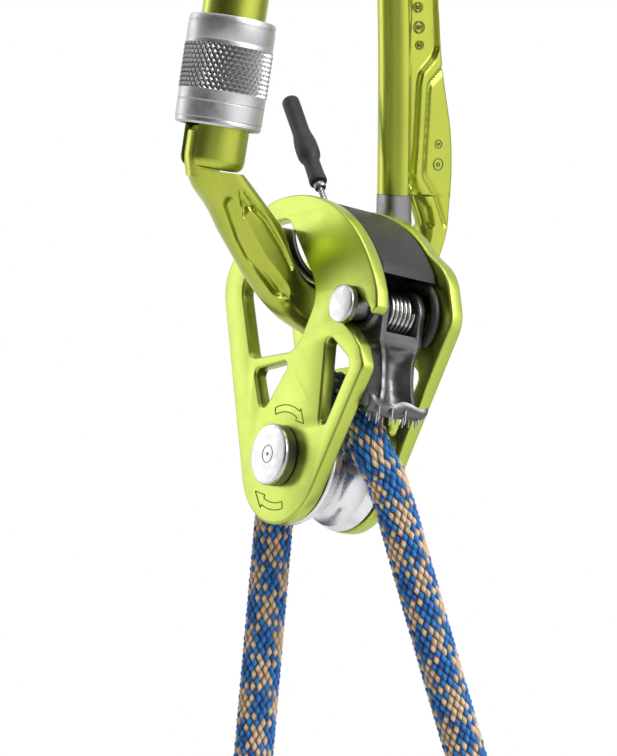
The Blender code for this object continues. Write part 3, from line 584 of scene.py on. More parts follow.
def plates():
    bore = arc(0, 0, AXLE_BORE, 0, 354, 6)
    pin = arc(*CAM_AXLE, CAM_BORE, 0, 348, 12)
    mesh = slab([front_outline(), *windows(), bore], PLATE_THICKNESS, PLATE_EDGE)
    piece("front_plate_body", mesh, DEVICE @ move(0, -PLATE_Y, 0), "front_plate", PLATE_GREEN, ["front_plate"])
    mesh = slab([rear_outline(), *windows(), bore, pin], PLATE_THICKNESS, PLATE_EDGE)
    piece("rear_plate_body", mesh, DEVICE @ move(0, PLATE_Y, 0), "pulley", PLATE_GREEN, ["rear_plate"])
    arrows = [arrow(107, 57, 8.75, 10.15, 0.65, 9.4, 39.8), arrow(-77, -117, 9.3, 10.7, 0.7, 10.1, -137.5)]
    face = -PLATE_Y - PLATE_THICKNESS / 2
    lines = []
    for outline in arrows:
        points = [Vector((x, face, z)) for x, z in outline]
        lines.append(tube(even(points + points[:1], 140)[:-1], 0.11, 2, cyclic=True))
    piece("front_plate_arrows", joined(lines), DEVICE, "front_plate", MARK)


# ---------------- sheave and axles

def dark_sided(mesh, height):
    """Gives the faces below a height along the axle the second material."""
    for face in mesh.polygons:
        face.material_index = 1 if face.center.z < height else 0
    return mesh


PITCH, GROOVE = 14.5, 4.4  # the rope's centre about the axle, and the groove's radius
HEAD_FACE = 12.95  # height of the sheave axle's head


def turned(name, profile, steps, matrix, closed=False):
    """A plain steel piece turned about local Z, riding the pulley."""
    piece(f"{name}_body", lathe(profile, steps, closed), matrix, "pulley", STEEL, [name], 28)


def headed(name, profile, steps, matrix, side_top):
    """An axle whose head is dark below side_top."""
    mesh = dark_sided(lathe(profile, steps), side_top)
    piece(f"{name}_body", mesh, matrix, "pulley", [STEEL, HEAD_SIDE], [name], 28)


def sheave_and_axle():
    groove = []
    for k in range(25):
        angle = radians(62 - 124 * k / 24)
        groove.append((PITCH - GROOVE * cos(angle), GROOVE * sin(angle)))
    rim = [(8.9, 6.5), (9.4, 6.5), (9.6, 6.35), (11.8, 6.35), (12.0, 6.5), (12.7, 6.5), (13.0, 6.42),
           (13.22, 6.2), (13.3, 5.9)]
    profile = rim + groove + [(r, -h) for r, h in reversed(rim)]
    piece("sheave_body", lathe(profile, 144, closed=True), DEVICE @ TO_REAR, "sheave", POLISHED, ["sheave"],
          30)
    head = [(0, HEAD_FACE), (5.3, HEAD_FACE), (5.75, 12.88), (6.0, 12.68), (6.1, 12.4), (6.1, 12.1), (6.1, 10.3),
            (6.0, 10.15), (4.0, 10.15), (4.0, -13.3), (3.4, -13.8), (0, -13.8)]
    headed("sheave_axle", head, 96, DEVICE @ TO_FRONT, 12.2)
    ring = [Vector((*at(1.7, a), HEAD_FACE)) for a in turns(40)]
    marks = [tube(ring, 0.1, 2, cyclic=True),
             lathe([(0, 13.03), (0.3, 13.02), (0.38, HEAD_FACE), (0, 12.9)], 20)]
    piece("axle_head_mark", joined(marks), DEVICE @ TO_FRONT, "pulley", HEAD_MARK)
    collar = [(4.3, 12.6), (5.6, 12.6), (5.95, 12.45), (6.1, 12.1), (6.1, 10.15), (4.3, 10.15)]
    turned("axle_collar", collar, 72, DEVICE @ TO_REAR, True)
    head = [(0, 11.95), (3.15, 11.95), (3.5, 11.88), (3.7, 11.7), (3.75, 11.45), (3.75, 11.3), (3.75, 10.4),
            (3.65, 10.3), (2.6, 10.3), (2.6, -11.2), (2.2, -11.6), (0, -11.6)]
    headed("cam_axle", head, 72, CAM @ TO_FRONT, 11.4)
    collar = [(2.9, 11.3), (3.4, 11.3), (3.7, 11.0), (3.7, 10.3), (2.9, 10.3)]
    turned("cam_axle_collar", collar, 48, CAM @ TO_REAR, True)


# ---------------- cover

def cut(mesh, tools):
    """The mesh less each of the tools."""
    for tool in tools:
        body, cutter = placed("cut_body", mesh), placed("cut_tool", tool)
        modifier = body.modifiers.new("cut", "BOOLEAN")
        modifier.object = cutter
        depsgraph = bpy.context.evaluated_depsgraph_get()
        mesh = bpy.data.meshes.new_from_object(body.evaluated_get(depsgraph))
        for obj in (body, cutter):
            bpy.data.objects.remove(obj, do_unlink=True)
    return mesh


def block(low, high):
    bm = bmesh.new()
    low, high = Vector(low), Vector(high)
    bmesh.ops.create_cube(bm, size=1.0, matrix=Matrix.Translation((low + high) / 2)
                          @ Matrix.Diagonal((*(high - low), 1.0)))
    return to_mesh(bm)


def scaled(matrix):
    """A metre matrix for meshes that are still in millimetres."""
    out = matrix.copy()
    out.translation = matrix.translation / MM
    return out


def cover():
    outer = arc(TOP[0], TOP[1], TOP[2] - 0.3, 31.5, 84.0, 2)
    left = [(-3.2, 49.9, 1.0), (-3.4, 47.6, 0.8), (5.6, 34.6, 5.0), (7.7, 28.6), (8.6, 24.6, 0.7)]
    outline = rounded(outer + left + arc(*CAM_AXLE, 8.6, 202.0, 48.0, 5))
    hole = lathe([(0, 6), (1.1, 6), (1.1, -30), (0, -30)], 28)
    hole.transform(scaled(DEVICE.inverted() @ CABLE))
    slit = block((-2.6, -0.5, -0.9), (2.6, 0.5, 1.5))
    slit.transform(Matrix.Translation((6.5, -4.6, 50.9)) @ Matrix.Rotation(radians(18), 4, "Y"))
    mesh = cut(slab([outline], 13.2, 0.55, 4), [hole, slit])
    piece("cover_body", mesh, DEVICE, "pulley", BLACK, ["cover"], 32)
    for i, (x, z) in enumerate(((2.4, 47.4), (13.6, 42.2))):
        head = [(0, 11.25), (1.2, 11.2), (1.9, 10.9), (2.2, 10.3), (1.2, 10.3), (1.2, 1.4), (0, 1.4)]
        piece(f"cover_rivet_{i + 1}_body", lathe(head, 32), DEVICE @ move(x, 0, z) @ TO_REAR, "pulley", STEEL,
              [f"cover_rivet_{i + 1}"])


# ---------------- cam

# Height, half width, back and front X, and channel depth down the cam's arm.
CAM_ROWS = [(-4.6, 5.2, -4.4, 4.6, 0.0), (-6.4, 5.1, -4.2, 4.5, 0.2), (-8.0, 4.5, -4.0, 4.3, 1.5),
            (-10.0, 4.1, -3.9, 4.3, 2.6), (-13.0, 4.0, -4.2, 4.5, 2.9), (-15.6, 4.1, -4.9, 4.8, 2.8),
            (-17.6, 4.4, -3.6, 5.0, 2.6), (-18.9, 4.8, -1.4, 4.6, 1.6)]


def cam_section(z):
    for above, below in zip(CAM_ROWS, CAM_ROWS[1:]):
        if z >= below[0]:
            t = (z - above[0]) / (below[0] - above[0])
            return [a + (b - a) * t * t * (3 - 2 * t) for a, b in zip(above, below)][1:]
    return CAM_ROWS[-1][1:]


def cam_arm():
    """The arm: flat sides, a narrow ridge along each front edge, and a hollow between them."""
    rings = []
    top, bottom = CAM_ROWS[0][0], CAM_ROWS[-1][0]
    for k in range(49):
        z = top - (top - bottom) * k / 48
        half, back, front, dip = cam_section(z)
        ring = [(front - 0.5, -half, z), (front - 0.12, -half + 0.12, z)]
        inner = half - 1.0
        ring += [(front, -half + 0.35, z), (front, -inner, z)]
        for i in range(1, 12):
            y = -inner + 2 * inner * i / 12
            ring.append((front - dip * cos(y / inner * pi / 2) ** 0.7, y, z))
        ring += [(front, inner, z), (front, half - 0.35, z), (front - 0.12, half - 0.12, z)]
        ring += [(front - 0.5, half, z), (back + 0.6, half, z), (back, half - 0.6, z)]
        ring += [(back, -half + 0.6, z), (back + 0.6, -half, z)]
        rings.append(ring)
    return loft(rings)


def cam_cheeks():
    """The fork's two ears round the axle, the near one carried out to the plate as a bush."""
    ears = []
    hole = arc(0, 0, CAM_BORE, 0, 350, 10)
    for side in (-1, 1):
        outline = arc(0, 0, 5.0, -12, 192, 5) + [(-4.6, -4.0), (-4.4, -6.4), (4.5, -6.4), (4.7, -3.2)]
        ear = slab([outline, hole], 1.6, 0.3)
        ear.transform(Matrix.Translation((0, side * 4.4, 0)))
        ears.append(ear)
    bush = lathe([(2.9, 5.0), (4.3, 5.0), (4.3, 5.9), (4.0, 6.35), (3.7, 6.5), (2.9, 6.5)], 64, closed=True)
    bush.transform(TO_FRONT)
    return ears + [bush]


FOOT_HALF = 6.3  # half the foot's width


def cam_foot():
    """Thin sole over the rope, dished across, with a lip that curls up and waves at its free edge."""
    route = [(-4.9, -14.4), (-4.2, -16.2), (-2.4, -17.6), (-0.4, -18.5), (1.6, -19.3), (3.4, -19.7),
             (4.9, -19.6), (6.0, -19.0), (6.6, -18.1), (6.5, -17.3)]
    fine = smooth_path([(x, 0, z) for x, z in route], 40)
    bm = bmesh.new()
    rows = []
    for j in range(37):
        y = -FOOT_HALF + 2 * FOOT_HALF * j / 36
        dish = 0.9 * (1 - (y / FOOT_HALF) ** 2)
        top, under = [], []
        for i, point in enumerate(fine):
            ahead = fine[min(i + 1, len(fine) - 1)] - fine[max(i - 1, 0)]
            normal = Vector((-ahead.z, 0, ahead.x)).normalized()
            lip = eased(i, 24, 39)
            wave = lip * (0.9 * sin(y * 0.85 + 0.4) - 0.5)
            thick = 0.42 - 0.12 * lip
            back = lip * (1.9 * (1 - eased(y, -1.0, FOOT_HALF)) + 0.4 * max(0.0, abs(y) - 5.3) ** 2)
            centre = Vector((point.x - back, y, point.z - dish * eased(i, 8, 26) * 0.6 + wave * 0.7))
            top.append(centre + normal * thick)
            under.append(centre - normal * thick)
        rows.append([bm.verts.new(p) for p in top + under[::-1]])
    count = len(rows[0])
    for a, b in zip(rows, rows[1:]):
        quads(bm, a, b)
    for row in (rows[0], rows[-1]):
        for i in range(count // 2 - 1):
            bm.faces.new((row[i], row[i + 1], row[count - 2 - i], row[count - 1 - i]))
    return to_mesh(bm)


def cam():
    body = joined([cam_arm(), *cam_cheeks(), cam_foot()])
    piece("cam_body", body, CAM, "cam", DARK_STEEL, ["cam"], 38)
    pins = []
    rows = [(-0.6, -18.6, 0.9), (1.1, -19.4, 1.4), (2.7, -19.9, 1.9), (4.2, -20.1, 2.2), (5.5, -19.6, 2.3)]
    for i, (x, top, length) in enumerate(rows):
        for k in range(4):
            y = -4.8 + 3.2 * k + (0.5 if i % 2 else 0.0)
            pin = lathe([(0.3, top + 0.5), (0.27, top), (0.22, top - length * 0.55),
                         (0.13, top - length * 0.9), (0.05, top - length), (0, top - length - 0.03)], 14)
            pin.transform(Matrix.Translation((x, y, 0)))
            pins.append(pin)
    piece("cam_teeth", joined(pins), CAM, "cam", STEEL, smooth=50)
    coil, side, turn = 3.9, 3.05, 48  # the spring's radius and half width, and points in a turn
    points = [Vector((-5.6, -side, 6.2)), Vector((-4.9, -side, 5.0))]
    for i in range(40, 6 * turn + 1):
        x, z = at(coil, tau * i / turn)
        points.append(Vector((x, -side + 2 * side * i / (6 * turn), z)))
    piece("cam_spring_coil", tube(points, 0.42, 5), CAM, "pulley", SPRING, ["cam_spring"], 60)
    points = [Vector((x, 6.0, z)) for x, z in arc(0, 0, 7.0, 128, -52, 3)]
    piece("release_cable_end", tube(points, 0.85, 6), CAM, "cam", SHEATH, ["release_cable_inner"],
          60)


def release():
    rings = []
    for k in range(96):
        z = -21.0 + 30.0 * k / 95
        twist = z * 1.35
        ring = []
        for a in turns(36):
            ring.append((*at(0.58 + 0.07 * cos(6 * a), a + twist), z))
        rings.append(ring)
    piece("release_cable_wire", loft(rings), CABLE, "release", CABLE_STEEL, ["release_cable"], 80)
    base, top = 5.0, 29.0
    below_top = [(0, 0.1), (1.2, 0), (1.65, 0.15), (1.85, 0.45), (1.88, 2), (1.85, 9.2), (1.95, 10.4),
                 (2.2, 11.8), (2.36, 13.0), (2.42, 14.6), (2.4, 16.0), (2.2, 17.0), (1.82, 17.7), (1.72, 18.1),
                 (1.72, 20.0)]
    above_base = [(1.78, 1.3), (1.86, 1.0), (1.86, 0.3), (1.75, 0), (0.95, 0), (0.95, 3)]
    profile = [(r, top - h) for r, h in below_top] + [(r, base + h) for r, h in above_base]
    piece("release_grip_body", lathe(profile, 64), CABLE, "release", RUBBER, ["release_grip"],
          35)
    collar = [(0.95, 4.65), (1.15, 4.65), (1.25, 4.5), (1.25, 3.6), (1.1, 3.4), (0.95, 3.4)]
    piece("cable_ferrule_body", lathe(collar, 40, closed=True), CABLE, "release", CABLE_STEEL, ["cable_ferrule"])


# ---------------- rope

CARRIERS = 16  # yarn bundles each way round the rope
CELL = 2.35  # length of one braid cell along the rope
TAN_ONE_WAY = {0, 1, 5, 6, 7, 10, 11, 12}
TAN_OTHER_WAY = {2, 3, 4, 8, 9, 13, 14}
NAVY_ONE_WAY = {3, 9, 14}


YARNS = [BLUE, TAN, NAVY]  # in the order of yarn_number's colours


def braid(path, radius, split, swell, parts=(), start_radius=None):
    """A braided tube on a diamond grid, cut into pieces at the given lengths so the yarns run on."""
    total = path_length(path)
    step = CELL / (2 * split)
    count = int(round(total / step)) + 1
    centres = even(path, count)
    ring = CARRIERS * split
    normal = None
    rows, heights = [], []
    for k, centre in enumerate(centres):
        ahead = (centres[min(k + 1, count - 1)] - centres[max(k - 1, 0)]).normalized()
        if normal is None:
            normal = ahead.cross(Vector((0, 1, 0.03))).normalized()
        normal = (normal - ahead * normal.dot(ahead)).normalized()
        side = ahead.cross(normal)
        here = radius + ((start_radius or radius) - radius) * (1 - eased(k * step, 2.0, 8.0))
        row, level = [], []
        for j in range(ring):
            turn = j + (k % 2) / 2
            angle = tau * turn / ring
            a, b = (k + 2 * turn) / (2 * split), (k - 2 * turn) / (2 * split)
            over = (floor(a) + floor(b)) % 2 == 0
            cross, along = (a % 1.0, b % 1.0) if over else (b % 1.0, a % 1.0)
            # crown is the yarn's height on the grid: it sinks the valleys and is also kept for the yarn
            # material's painted shade between the yarns.
            crown = sin(pi * cross) ** 0.55 * (0.35 + 0.65 * sin(pi * along) ** 0.7)
            outward = normal * cos(angle) + side * sin(angle)
            row.append(centre + outward * (here - swell * (1 - crown)))
            level.append(crown)
        rows.append(row)
        heights.append(level)
    bounds = [0] + [2 * int(round(part / step / 2)) for part in parts] + [2 * ((count - 1) // 2)]
    lows = [bounds[0]] + [low - 1 for low in bounds[1:-1]]
    return [braid_piece(rows, heights, low, high, ring, split) for low, high in zip(lows, bounds[1:])]


def yarn_number(k, turn, split):
    """Which yarn lies on top at a place on the grid, and its colour."""
    a, b = floor((k + 2 * turn) / (2 * split)), floor((k - 2 * turn) / (2 * split))
    if (a + b) % 2 == 0:
        number = a % CARRIERS
        return True, 1 if number in TAN_ONE_WAY else (2 if number in NAVY_ONE_WAY else 0)
    return False, 1 if b % CARRIERS in TAN_OTHER_WAY else 0


def braid_piece(rows, heights, low, high, ring, split):
    bm = bmesh.new()
    uv = bm.loops.layers.uv.new("yarn")
    # The crown level goes on each vertex; the yarn material paints shade from it, darker in the valleys between
    # the yarns.
    crown = bm.verts.layers.float.new("crown")
    made = []
    for k in range(low, high + 1):
        made.append([bm.verts.new(spot) for spot in rows[k]])
        for vert, level in zip(made[-1], heights[k]):
            vert[crown] = level
    for k in range(high - low - 1):
        for j in range(ring):
            shift = (k + low) % 2
            middle = j + shift / 2
            corners = ((k, j, middle), (k + 1, (j + shift) % ring, middle + 0.5), (k + 2, j, middle),
                       (k + 1, (j - 1 + shift) % ring, middle - 0.5))
            face = bm.faces.new([made[up][column] for up, column, turn in corners])
            along_a, face.material_index = yarn_number(k + low + 1, middle, split)
            for loop, (up, column, turn) in zip(face.loops, corners):
                a, b = (up + low + 2 * turn) / (2 * split), (up + low - 2 * turn) / (2 * split)
                loop[uv].uv = (a, b) if along_a else (b, a)
    for edge, inner in ((0, 1), (high - low, high - low - 1)):
        centre = bm.verts.new(sum((vert.co for vert in made[edge]), Vector()) / ring)
        shift = (edge + low) % 2
        for j in range(ring):
            between = made[inner][(j + shift) % ring]
            bm.faces.new((made[edge][j], between, centre))
            bm.faces.new((between, made[edge][(j + 1) % ring], centre))
    return to_mesh(bm)


LEFT_ROUTE = [Vector((-PITCH, 0, -14.3)), Vector((-PITCH, 0, -66.5))]
RIGHT_ROUTE = [Vector(p) for p in ((16.84, 5.5, -6.5), (17.1, 8.0, -12.0), (17.5, 12.4, -22.0),
                                   (18.0, 17.3, -33.0), (18.5, 22.2, -44.0), (19.0, 27.2, -55.0),
                                   (19.4, 31.2, -64.0))]
ROPE = 4.1  # radius


def over_sheave_route():
    left = [(-PITCH, 0, -13.9), (-PITCH, 0, -7.0)]
    over = [(x, 0.0, z) for x, z in arc(0, 0, PITCH, 180, 32, 12)]
    return left + over + [(15.5, 0.9, 1.6), (16.55, 3.5, -2.6), (16.8, 5.2, -5.9)]


def knot(name, route, node_name):
    """A barrel knot: the strand runs down its middle and wraps back up round itself."""
    end = route[-1]
    along = (route[-1] - route[-2]).normalized()
    core, wrap, centre = 3.3, 6.9, 11.8  # radii, and how far below the strand's end the knot sits
    points = [Vector((0, 0, -12.3)), Vector((0, 0, -4.0)), Vector((0, 0, 3.0)), Vector((1.2, 0.4, 7.0)),
              Vector((4.2, 0.6, 9.0))]
    for i in range(0, 33):
        points.append(Vector((*at(wrap, tau * i / 16 + 0.15), 7.6 - 6.9 * i / 16)))
    points += [Vector((wrap + 0.2, 3.2, -7.2)), Vector((wrap - 1.5, 6.4, -8.0))]
    path = smooth_path(points, 260)
    mesh = braid(path, core, 3, 0.42, start_radius=4.05)[0]
    place = DEVICE @ move(*(end + along * centre)) @ turn_to(along)
    return piece(name, mesh, place, "pulley", YARNS, [node_name], 75)


def rope():
    """One braid from knot to knot, cut where the solids of its three stretches meet."""
    right = smooth_path(RIGHT_ROUTE, 160)
    middle = smooth_path(over_sheave_route(), 400)
    left = even(LEFT_ROUTE[::-1], 80)
    whole = left + middle + right
    cuts = [path_length(left) + 0.2, path_length(left + middle) + 0.3]
    path = even(whole, 1200)
    meshes = braid(path, ROPE, 4, 0.62, cuts)
    piece("rope_bend", meshes[1], DEVICE, "pulley", YARNS, ["rope_over_sheave"], 75)
    strands = (("left", LEFT_ROUTE, left[::-1], meshes[0]), ("right", RIGHT_ROUTE, right, meshes[2]))
    for side, route, centres, mesh in strands:
        end_knot = knot(f"knot_{side}_rope", route, f"knot_{side}")
        obj = piece(f"rope_{side}", mesh, DEVICE, "pulley", YARNS, [f"rope_{side}_strand"], 75)
        world = [DEVICE @ (p * MM) for p in centres]
        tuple(world[0])
        path_length(centres) * MM


# ---------------- carabiner

CROWN = (-4.5, 71.0)
INSERT, INSERT_RADIUS, INSERT_HALF = (-1.3, -1.5), 11.5, 3.3


def station(inner, outer, halves):
    """A section: its inner and outer edges, and its half thickness at the bar and the rim."""
    return Vector((*inner, *outer, *halves))


def body_runs():
    tongue, crown, spine = (2.1, 2.1), (4.6, 4.6), (4.0, 3.6)
    basket, middle, nose = (3.4, 3.6), (4.4, 4.4), (5.2, 4.4)

    def top(angle, outside):
        return station(polar(10.2, angle, CROWN), polar(outside, angle, CROWN), crown)

    def liner(angle, outside, halves):
        return station(polar(13.1, angle, INSERT), polar(outside, angle), halves)

    hinge = [station((-16.6, 64.2), (-26.3, 64.2), tongue), station((-15.6, 70), (-26.3, 70), tongue),
             station((-15.1, 74.7), (-26.4, 74.7), tongue)]
    upper = [station((-15.0, 74.9), (-26.4, 74.9), crown), top(135, 20.6), top(90, 20.2), top(45, 20.6),
             station((6.2, 69), (17.8, 69), crown), station((7.6, 57), (19.8, 57), spine),
             station((8.5, 45), (21.5, 45), spine), station((9.2, 31), (23.2, 31), spine),
             station((9.6, 18), (25.9, 18), spine), station((9.8, 10), (26.6, 10), spine),
             station((9.9, 4.4), (26.5, 4.4), spine)]
    lower = [station((17.2, 3.9), (26.5, 3.9), basket), station(polar(20.2, -10), polar(25.9, -10), basket)]
    lower += [station(polar(20.1, a), polar(25.4, a), basket) for a in (-32, -55, -78, -102)]
    front = [liner(-109, 25.4, basket), liner(-128, 24.6, middle), liner(-150, 24.8, nose),
             station((-14.7, -2.4), (-27.6, -3.4), nose), station((-17.6, 1.2), (-31.0, 2.6), nose),
             station((-21.2, 5.4), (-34.3, 6.9), nose), station((-24.7, 9.2), (-35.9, 10.6), nose)]
    return {"hinge": hinge, "upper": upper, "lower": lower, "front": front}


def fine_stations(run, spacing):
    def parts(b, c):
        reach = ((b[0] + b[2] - c[0] - c[2]) ** 2 + (b[1] + b[3] - c[1] - c[3]) ** 2) ** 0.5 / 2
        return max(2, int(reach / spacing))

    return spans(run, parts)


def signed_distance(polygon, x, z):
    """Distance to a polygon's edge, negative inside."""
    best, inside = 1e9, False
    for (ax, az), (bx, bz) in zip(polygon, polygon[1:] + polygon[:1]):
        ex, ez = bx - ax, bz - az
        t = min(1.0, max(0.0, ((x - ax) * ex + (z - az) * ez) / (ex * ex + ez * ez)))
        best = min(best, (x - ax - ex * t) ** 2 + (z - az - ez * t) ** 2)
        if (az > z) != (bz > z) and x < ax + (z - az) * ex / ez:
            inside = not inside
    return -best ** 0.5 if inside else best ** 0.5


SPINE_POCKET = rounded([(14.3, 33.4), (14.3, 22.7), (14.6, 9.8), (15.4, 6.1, 3), (18.4, 0.9), (19.9, -2.8),
                        (21.7, -2.1), (20.7, 1.6), (16.8, 6.1, 3), (16.1, 8.3), (16.5, 14.1), (16.8, 27.0, 2),
                        (17.2, 29.2, 2), (20.3, 32.4, 2), (21.2, 34.3, 2), (20.4, 44.2), (18.6, 57.0, 3),
                        (13.4, 57.0, 3), (14.1, 44.0)], 12)
SPINE_STEP = rounded([(22.9, 31.2), (18.7, 27.1, 2), (18.5, 20.6), (18.1, 8.2, 3), (21.5, 3.8), (24.0, -2.2),
                      (24.5, -2.2), (22.0, 4.0), (18.6, 8.3, 3), (19.0, 20.6), (19.2, 26.9, 2),
                      (23.3, 30.8)], 12)
NOSE_POCKET = rounded([(-30.9, 4.9, 1.2), (-28.2, 5.1, 1.2), (-24.0, -2.3, 5), (-20.7, -7.3, 5),
                       (-14.0, -14.6, 3), (-16.4, -17.0, 3), (-24.5, -7.6, 5), (-27.0, -3.6, 5)], 12)
NOSE_STEP = rounded([(-27.5, 7.3, 1.5), (-26.0, 5.6, 3), (-20.7, 0.6, 6), (-17.0, -4.9, 6), (-14.6, -9.0),
                     (-15.4, -9.4), (-17.9, -5.0, 6), (-21.6, 0.0, 6), (-26.9, 5.0, 3)], 12)
CROWN_POCKET = rounded([(-17.5, 73.5, 2)] + arc(*CROWN, 13.2, 160, 20, 8) + [(8.6, 67.0), (11.2, 67.0, 2)]
                       + arc(*CROWN, 16.4, 20, 160, 8), 12)


def relief(x, z):
    """How far the carabiner's faces are let in, in millimetres, at a point of its plane."""
    pockets = ((SPINE_POCKET, 1.15, -0.6, 0.3), (SPINE_STEP, 0.5, -0.35, 0.5), (NOSE_POCKET, 1.5, -1.3, 0.3),
               (NOSE_STEP, 0.9, -0.5, 0.5), (CROWN_POCKET, 0.5, -1.2, 0.4))
    return max(depth * (1 - eased(signed_distance(outline, x, z), start, end))
               for outline, depth, start, end in pockets)


def half_thickness(u, depth, bar, rim, kind):
    """Half the section's thickness at a distance u from its inner edge, before the pockets."""
    bar_depth = min(bar, depth * 0.3)
    edge = min(1.5, depth * 0.2) if kind != "front" else min(3.4, depth * 0.3)
    if kind == "hinge":
        edge = bar_depth = 0.8
    if u < bar_depth:
        value = bar * max(0.0, 1 - (1 - u / bar_depth) ** 2) ** 0.5
    elif kind == "upper":
        groove = 0.7 * exp(-((u - bar_depth * 1.25) / 0.55) ** 2)
        value = bar + (rim - bar) * eased(u, bar_depth, bar_depth * 1.3) - groove
    else:
        value = bar + (rim - bar) * eased(u, bar_depth, depth * 0.8)
    if u > depth - edge:
        value *= max(0.0, 1 - ((u - depth + edge) / edge) ** 2) ** 0.5
    return value


def body_mesh():
    rings = []
    samples = 84
    for kind, run in body_runs().items():
        for row in fine_stations(run, 0.5):
            inner, outer = Vector((row[0], row[1])), Vector((row[2], row[3]))
            across = outer - inner
            depth = across.length
            across.normalize()
            side = []
            for k in range(samples + 1):
                t = k / samples
                u = depth * (0.5 - 0.5 * cos(pi * t)) * 0.5 + depth * t * 0.5
                spot = inner + across * u
                half = half_thickness(u, depth, row[4], row[5], kind)
                if kind != "hinge" and 0 < k < samples:
                    half = max(min(half, 1.0), half - relief(spot.x, spot.y))
                side.append((spot.x, half, spot.y))
            ring = side[:-1] + [(side[-1][0], 0.0, side[-1][2])] + [(x, -h, z) for x, h, z in side[-2:0:-1]]
            rings.append(ring)
    return loft(rings)


def nose_mesh():
    """The tongue that stands in the gate's slot: a web with a rounded outer edge, rising from the limb."""
    rings = []
    for k in range(25):
        z = -61.4 + 9.8 * k / 24
        outer = -4.6 - 1.3 * eased(z, -63.0, -57.0) + 0.9 * eased(z, -52.8, -51.6)
        half = 2.25 - 0.5 * eased(z, -52.6, -51.6)
        ring = [(0.6, half, z), (0.6, -half, z)]
        for i in range(13):
            angle = pi * (i / 12 - 0.5)
            ring.append((outer + 1.1 - 1.1 * cos(angle), half * sin(angle), z))
        rings.append(ring)
    mesh = loft(rings)
    mesh.transform(scaled(CARABINER.inverted() @ GATE))
    return mesh


def marks():
    """Small raised ring-and-dot marks on the spine's visible side, in place of lettering."""
    made = []
    for x, z, half, size in ((16.2, 42.6, 2.75, 0.95), (16.6, 38.6, 2.75, 1.15), (16.9, 35.0, 2.75, 0.8),
                             (21.8, 14.8, 3.62, 0.85), (21.9, 10.6, 3.62, 1.2)):
        for radius, wire in ((size, 0.13), (size * 0.3, 0.15)):
            ring = [Vector((x + radius * cos(a), -half, z + radius * sin(a))) for a in turns(28)]
            made.append(tube(ring, wire, 2, cyclic=True))
    return joined(made)


def carabiner():
    mesh = joined([body_mesh(), nose_mesh()])
    piece("carabiner_forging", mesh, CARABINER, "carabiner", GREEN, ["carabiner_body"], 42)
    piece("carabiner_marks", marks(), CARABINER, "carabiner", MARK)
    wear_insert()


def wear_insert():
    """Steel liner of the basket. Each row: a place on its inner edge, the way outward, the depth."""
    side = INSERT[0] + INSERT_RADIUS
    rows = [((side, 4.3), (1.0, 0.0), 6.3), ((side, 1.0), (1.0, 0.0), 6.4)]
    depths = [(-3 * k, 6.6) for k in range(29)]
    depths += [(-89, 6.0), (-92, 5.2), (-95, 4.1), (-98, 3.0), (-102, 1.9)]
    depths += [(-106 - 3 * k, 1.2) for k in range(25)]
    for bearing, depth in depths:
        rows.append((polar(INSERT_RADIUS, bearing, INSERT), polar(1.0, bearing), depth))
    rings = []
    for (x, z), outward, depth in rows:
        ring = []
        for k in range(28):
            angle = tau * (k + 0.5) / 28
            c, s = (copysign(abs(part) ** 0.62, part) for part in (cos(angle), sin(angle)))
            u = depth / 2 - depth / 2 * c
            ring.append((x + outward[0] * u, INSERT_HALF * s, z + outward[1] * u))
        rings.append(ring)
    piece("wear_insert_body", loft(rings), CARABINER, "carabiner", BAR_STEEL, ["wear_insert"],
          45)


GATE_LOW = -59.4


def gate():
    low = GATE_LOW
    profile = [(0, 4.0), (2.4, 3.95), (4.0, 3.6), (5.2, 2.9), (5.95, 1.8), (6.22, 0.6), (6.25, -0.5),
               (6.25, -28.0), (6.25, low + 1.9), (6.15, low + 1.2), (5.85, low + 0.6), (5.3, low + 0.15),
               (4.6, low), (0, low)]
    hinge_slot, nose_slot = block((-9, -2.4, -8.0), (9, 2.4, 9)), block((-9, -2.5, low - 3), (1.0, 2.5, -51.2))
    hole = lathe([(0, 9), (1.8, 9), (1.8, -9), (0, -9)], 40)
    hole.transform(TO_REAR)
    bore = lathe([(0, -7), (2.2, -7), (2.2, -24), (0, -24)], 32)
    mesh = cut(lathe(profile, 96), [hinge_slot, nose_slot, hole, bore])
    piece("gate_tube", mesh, GATE, "gate", GREEN, ["gate"], 35)
    end = [(0, 5.95), (0.9, 5.93), (1.35, 5.75), (1.5, 5.5)]
    pin = lathe(end + [(radius, -height) for radius, height in reversed(end)], 40)
    piece("gate_pin_body", pin, GATE @ TO_REAR, "carabiner", STEEL, ["gate_pin"])


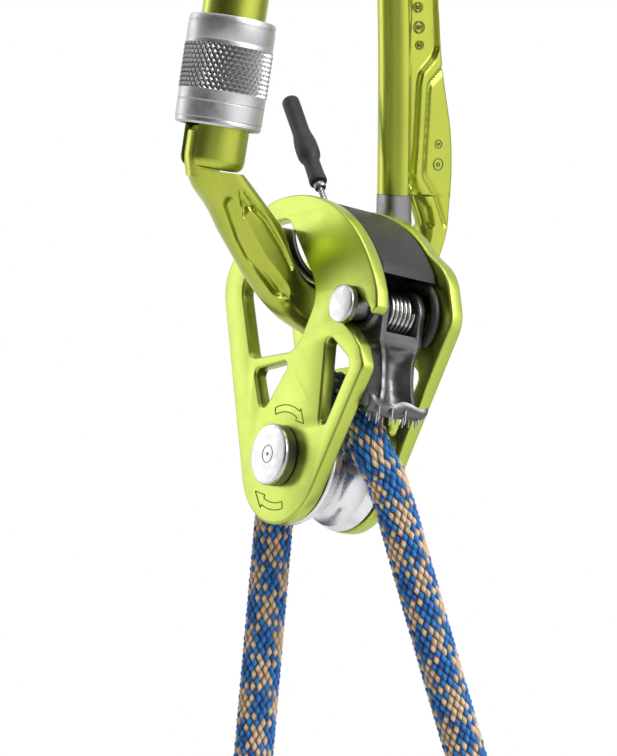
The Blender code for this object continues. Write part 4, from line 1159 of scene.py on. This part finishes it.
def sleeve():
    """Satin collar with a band of real diamond knurling between turned steps."""
    top, low = -30.4, -51.3
    height = top - low
    band_top, band_low = top - 0.27 * height, top - 0.68 * height
    steps, diamonds = ((480, 48))
    rows = 60
    pitch, knurl_depth = 1.75, 0.5
    plain = [(7.6, top), (8.2, top - 0.12), (8.42, top - 0.5), (8.45, top - 1.2), (8.3, top - 1.3),
             (8.3, top - 1.5), (8.48, top - 1.6), (8.5, top - 4.6), (8.42, top - 4.75), (8.5, top - 4.9),
             (8.52, band_top + 0.25), (8.55, band_top + 0.05)]
    band = [(8.68, band_top + (band_low - band_top) * k / rows) for k in range(rows + 1)]
    rest = [(8.55, band_low - 0.05), (8.52, band_low - 0.25), (8.52, low + 4.6), (8.4, low + 4.45),
            (8.5, low + 4.3), (8.48, low + 1.3), (8.35, low + 1.15), (8.42, low + 1.0), (8.4, low + 0.4),
            (8.1, low), (7.3, low),
            (7.3, low + 9.0), (6.6, low + 10.0), (6.6, top - 0.6), (7.0, top)]
    profile = plain + band + rest
    knurled = range(len(plain), len(plain) + len(band))
    bm = bmesh.new()
    rings = []
    for place, (radius, z) in enumerate(profile):
        lean = (z - band_low) / pitch
        ring = []
        for angle in turns(steps):
            r = radius
            if place in knurled:
                a = abs((angle / tau * diamonds + lean) % 1.0 - 0.5) * 2
                b = abs((angle / tau * diamonds - lean) % 1.0 - 0.5) * 2
                r -= knurl_depth * max(a, b) ** 1.6
            ring.append(bm.verts.new((*at(r, angle), z)))
        rings.append(ring)
    for k in range(len(rings)):
        for face in quads(bm, rings[k], rings[(k + 1) % len(rings)]):
            face.material_index = 1 if k in knurled and k + 1 in knurled else 0
    piece("sleeve_body", to_mesh(bm), GATE, "sleeve", [SATIN, KNURL], ["sleeve"], 30)


# ---------------- assembly

def finish_cad():
    """Materials for the CAD nodes that still show."""
    for name, mat in (("bearing_outer_ring", STEEL), ("bearing_inner_ring", STEEL), ("bearing_balls", STEEL),
                      ("bearing_shield_front", DARK_STEEL), ("bearing_shield_rear", DARK_STEEL),
                      ("gate_plunger", STEEL), ("gate_spring", SPRING)):
        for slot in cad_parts[name].material_slots:
            slot.material = mat


camera()
studio()
rope()
plates()
sheave_and_axle()
cover()
cam()
release()
carabiner()
gate()
sleeve()
finish_cad()
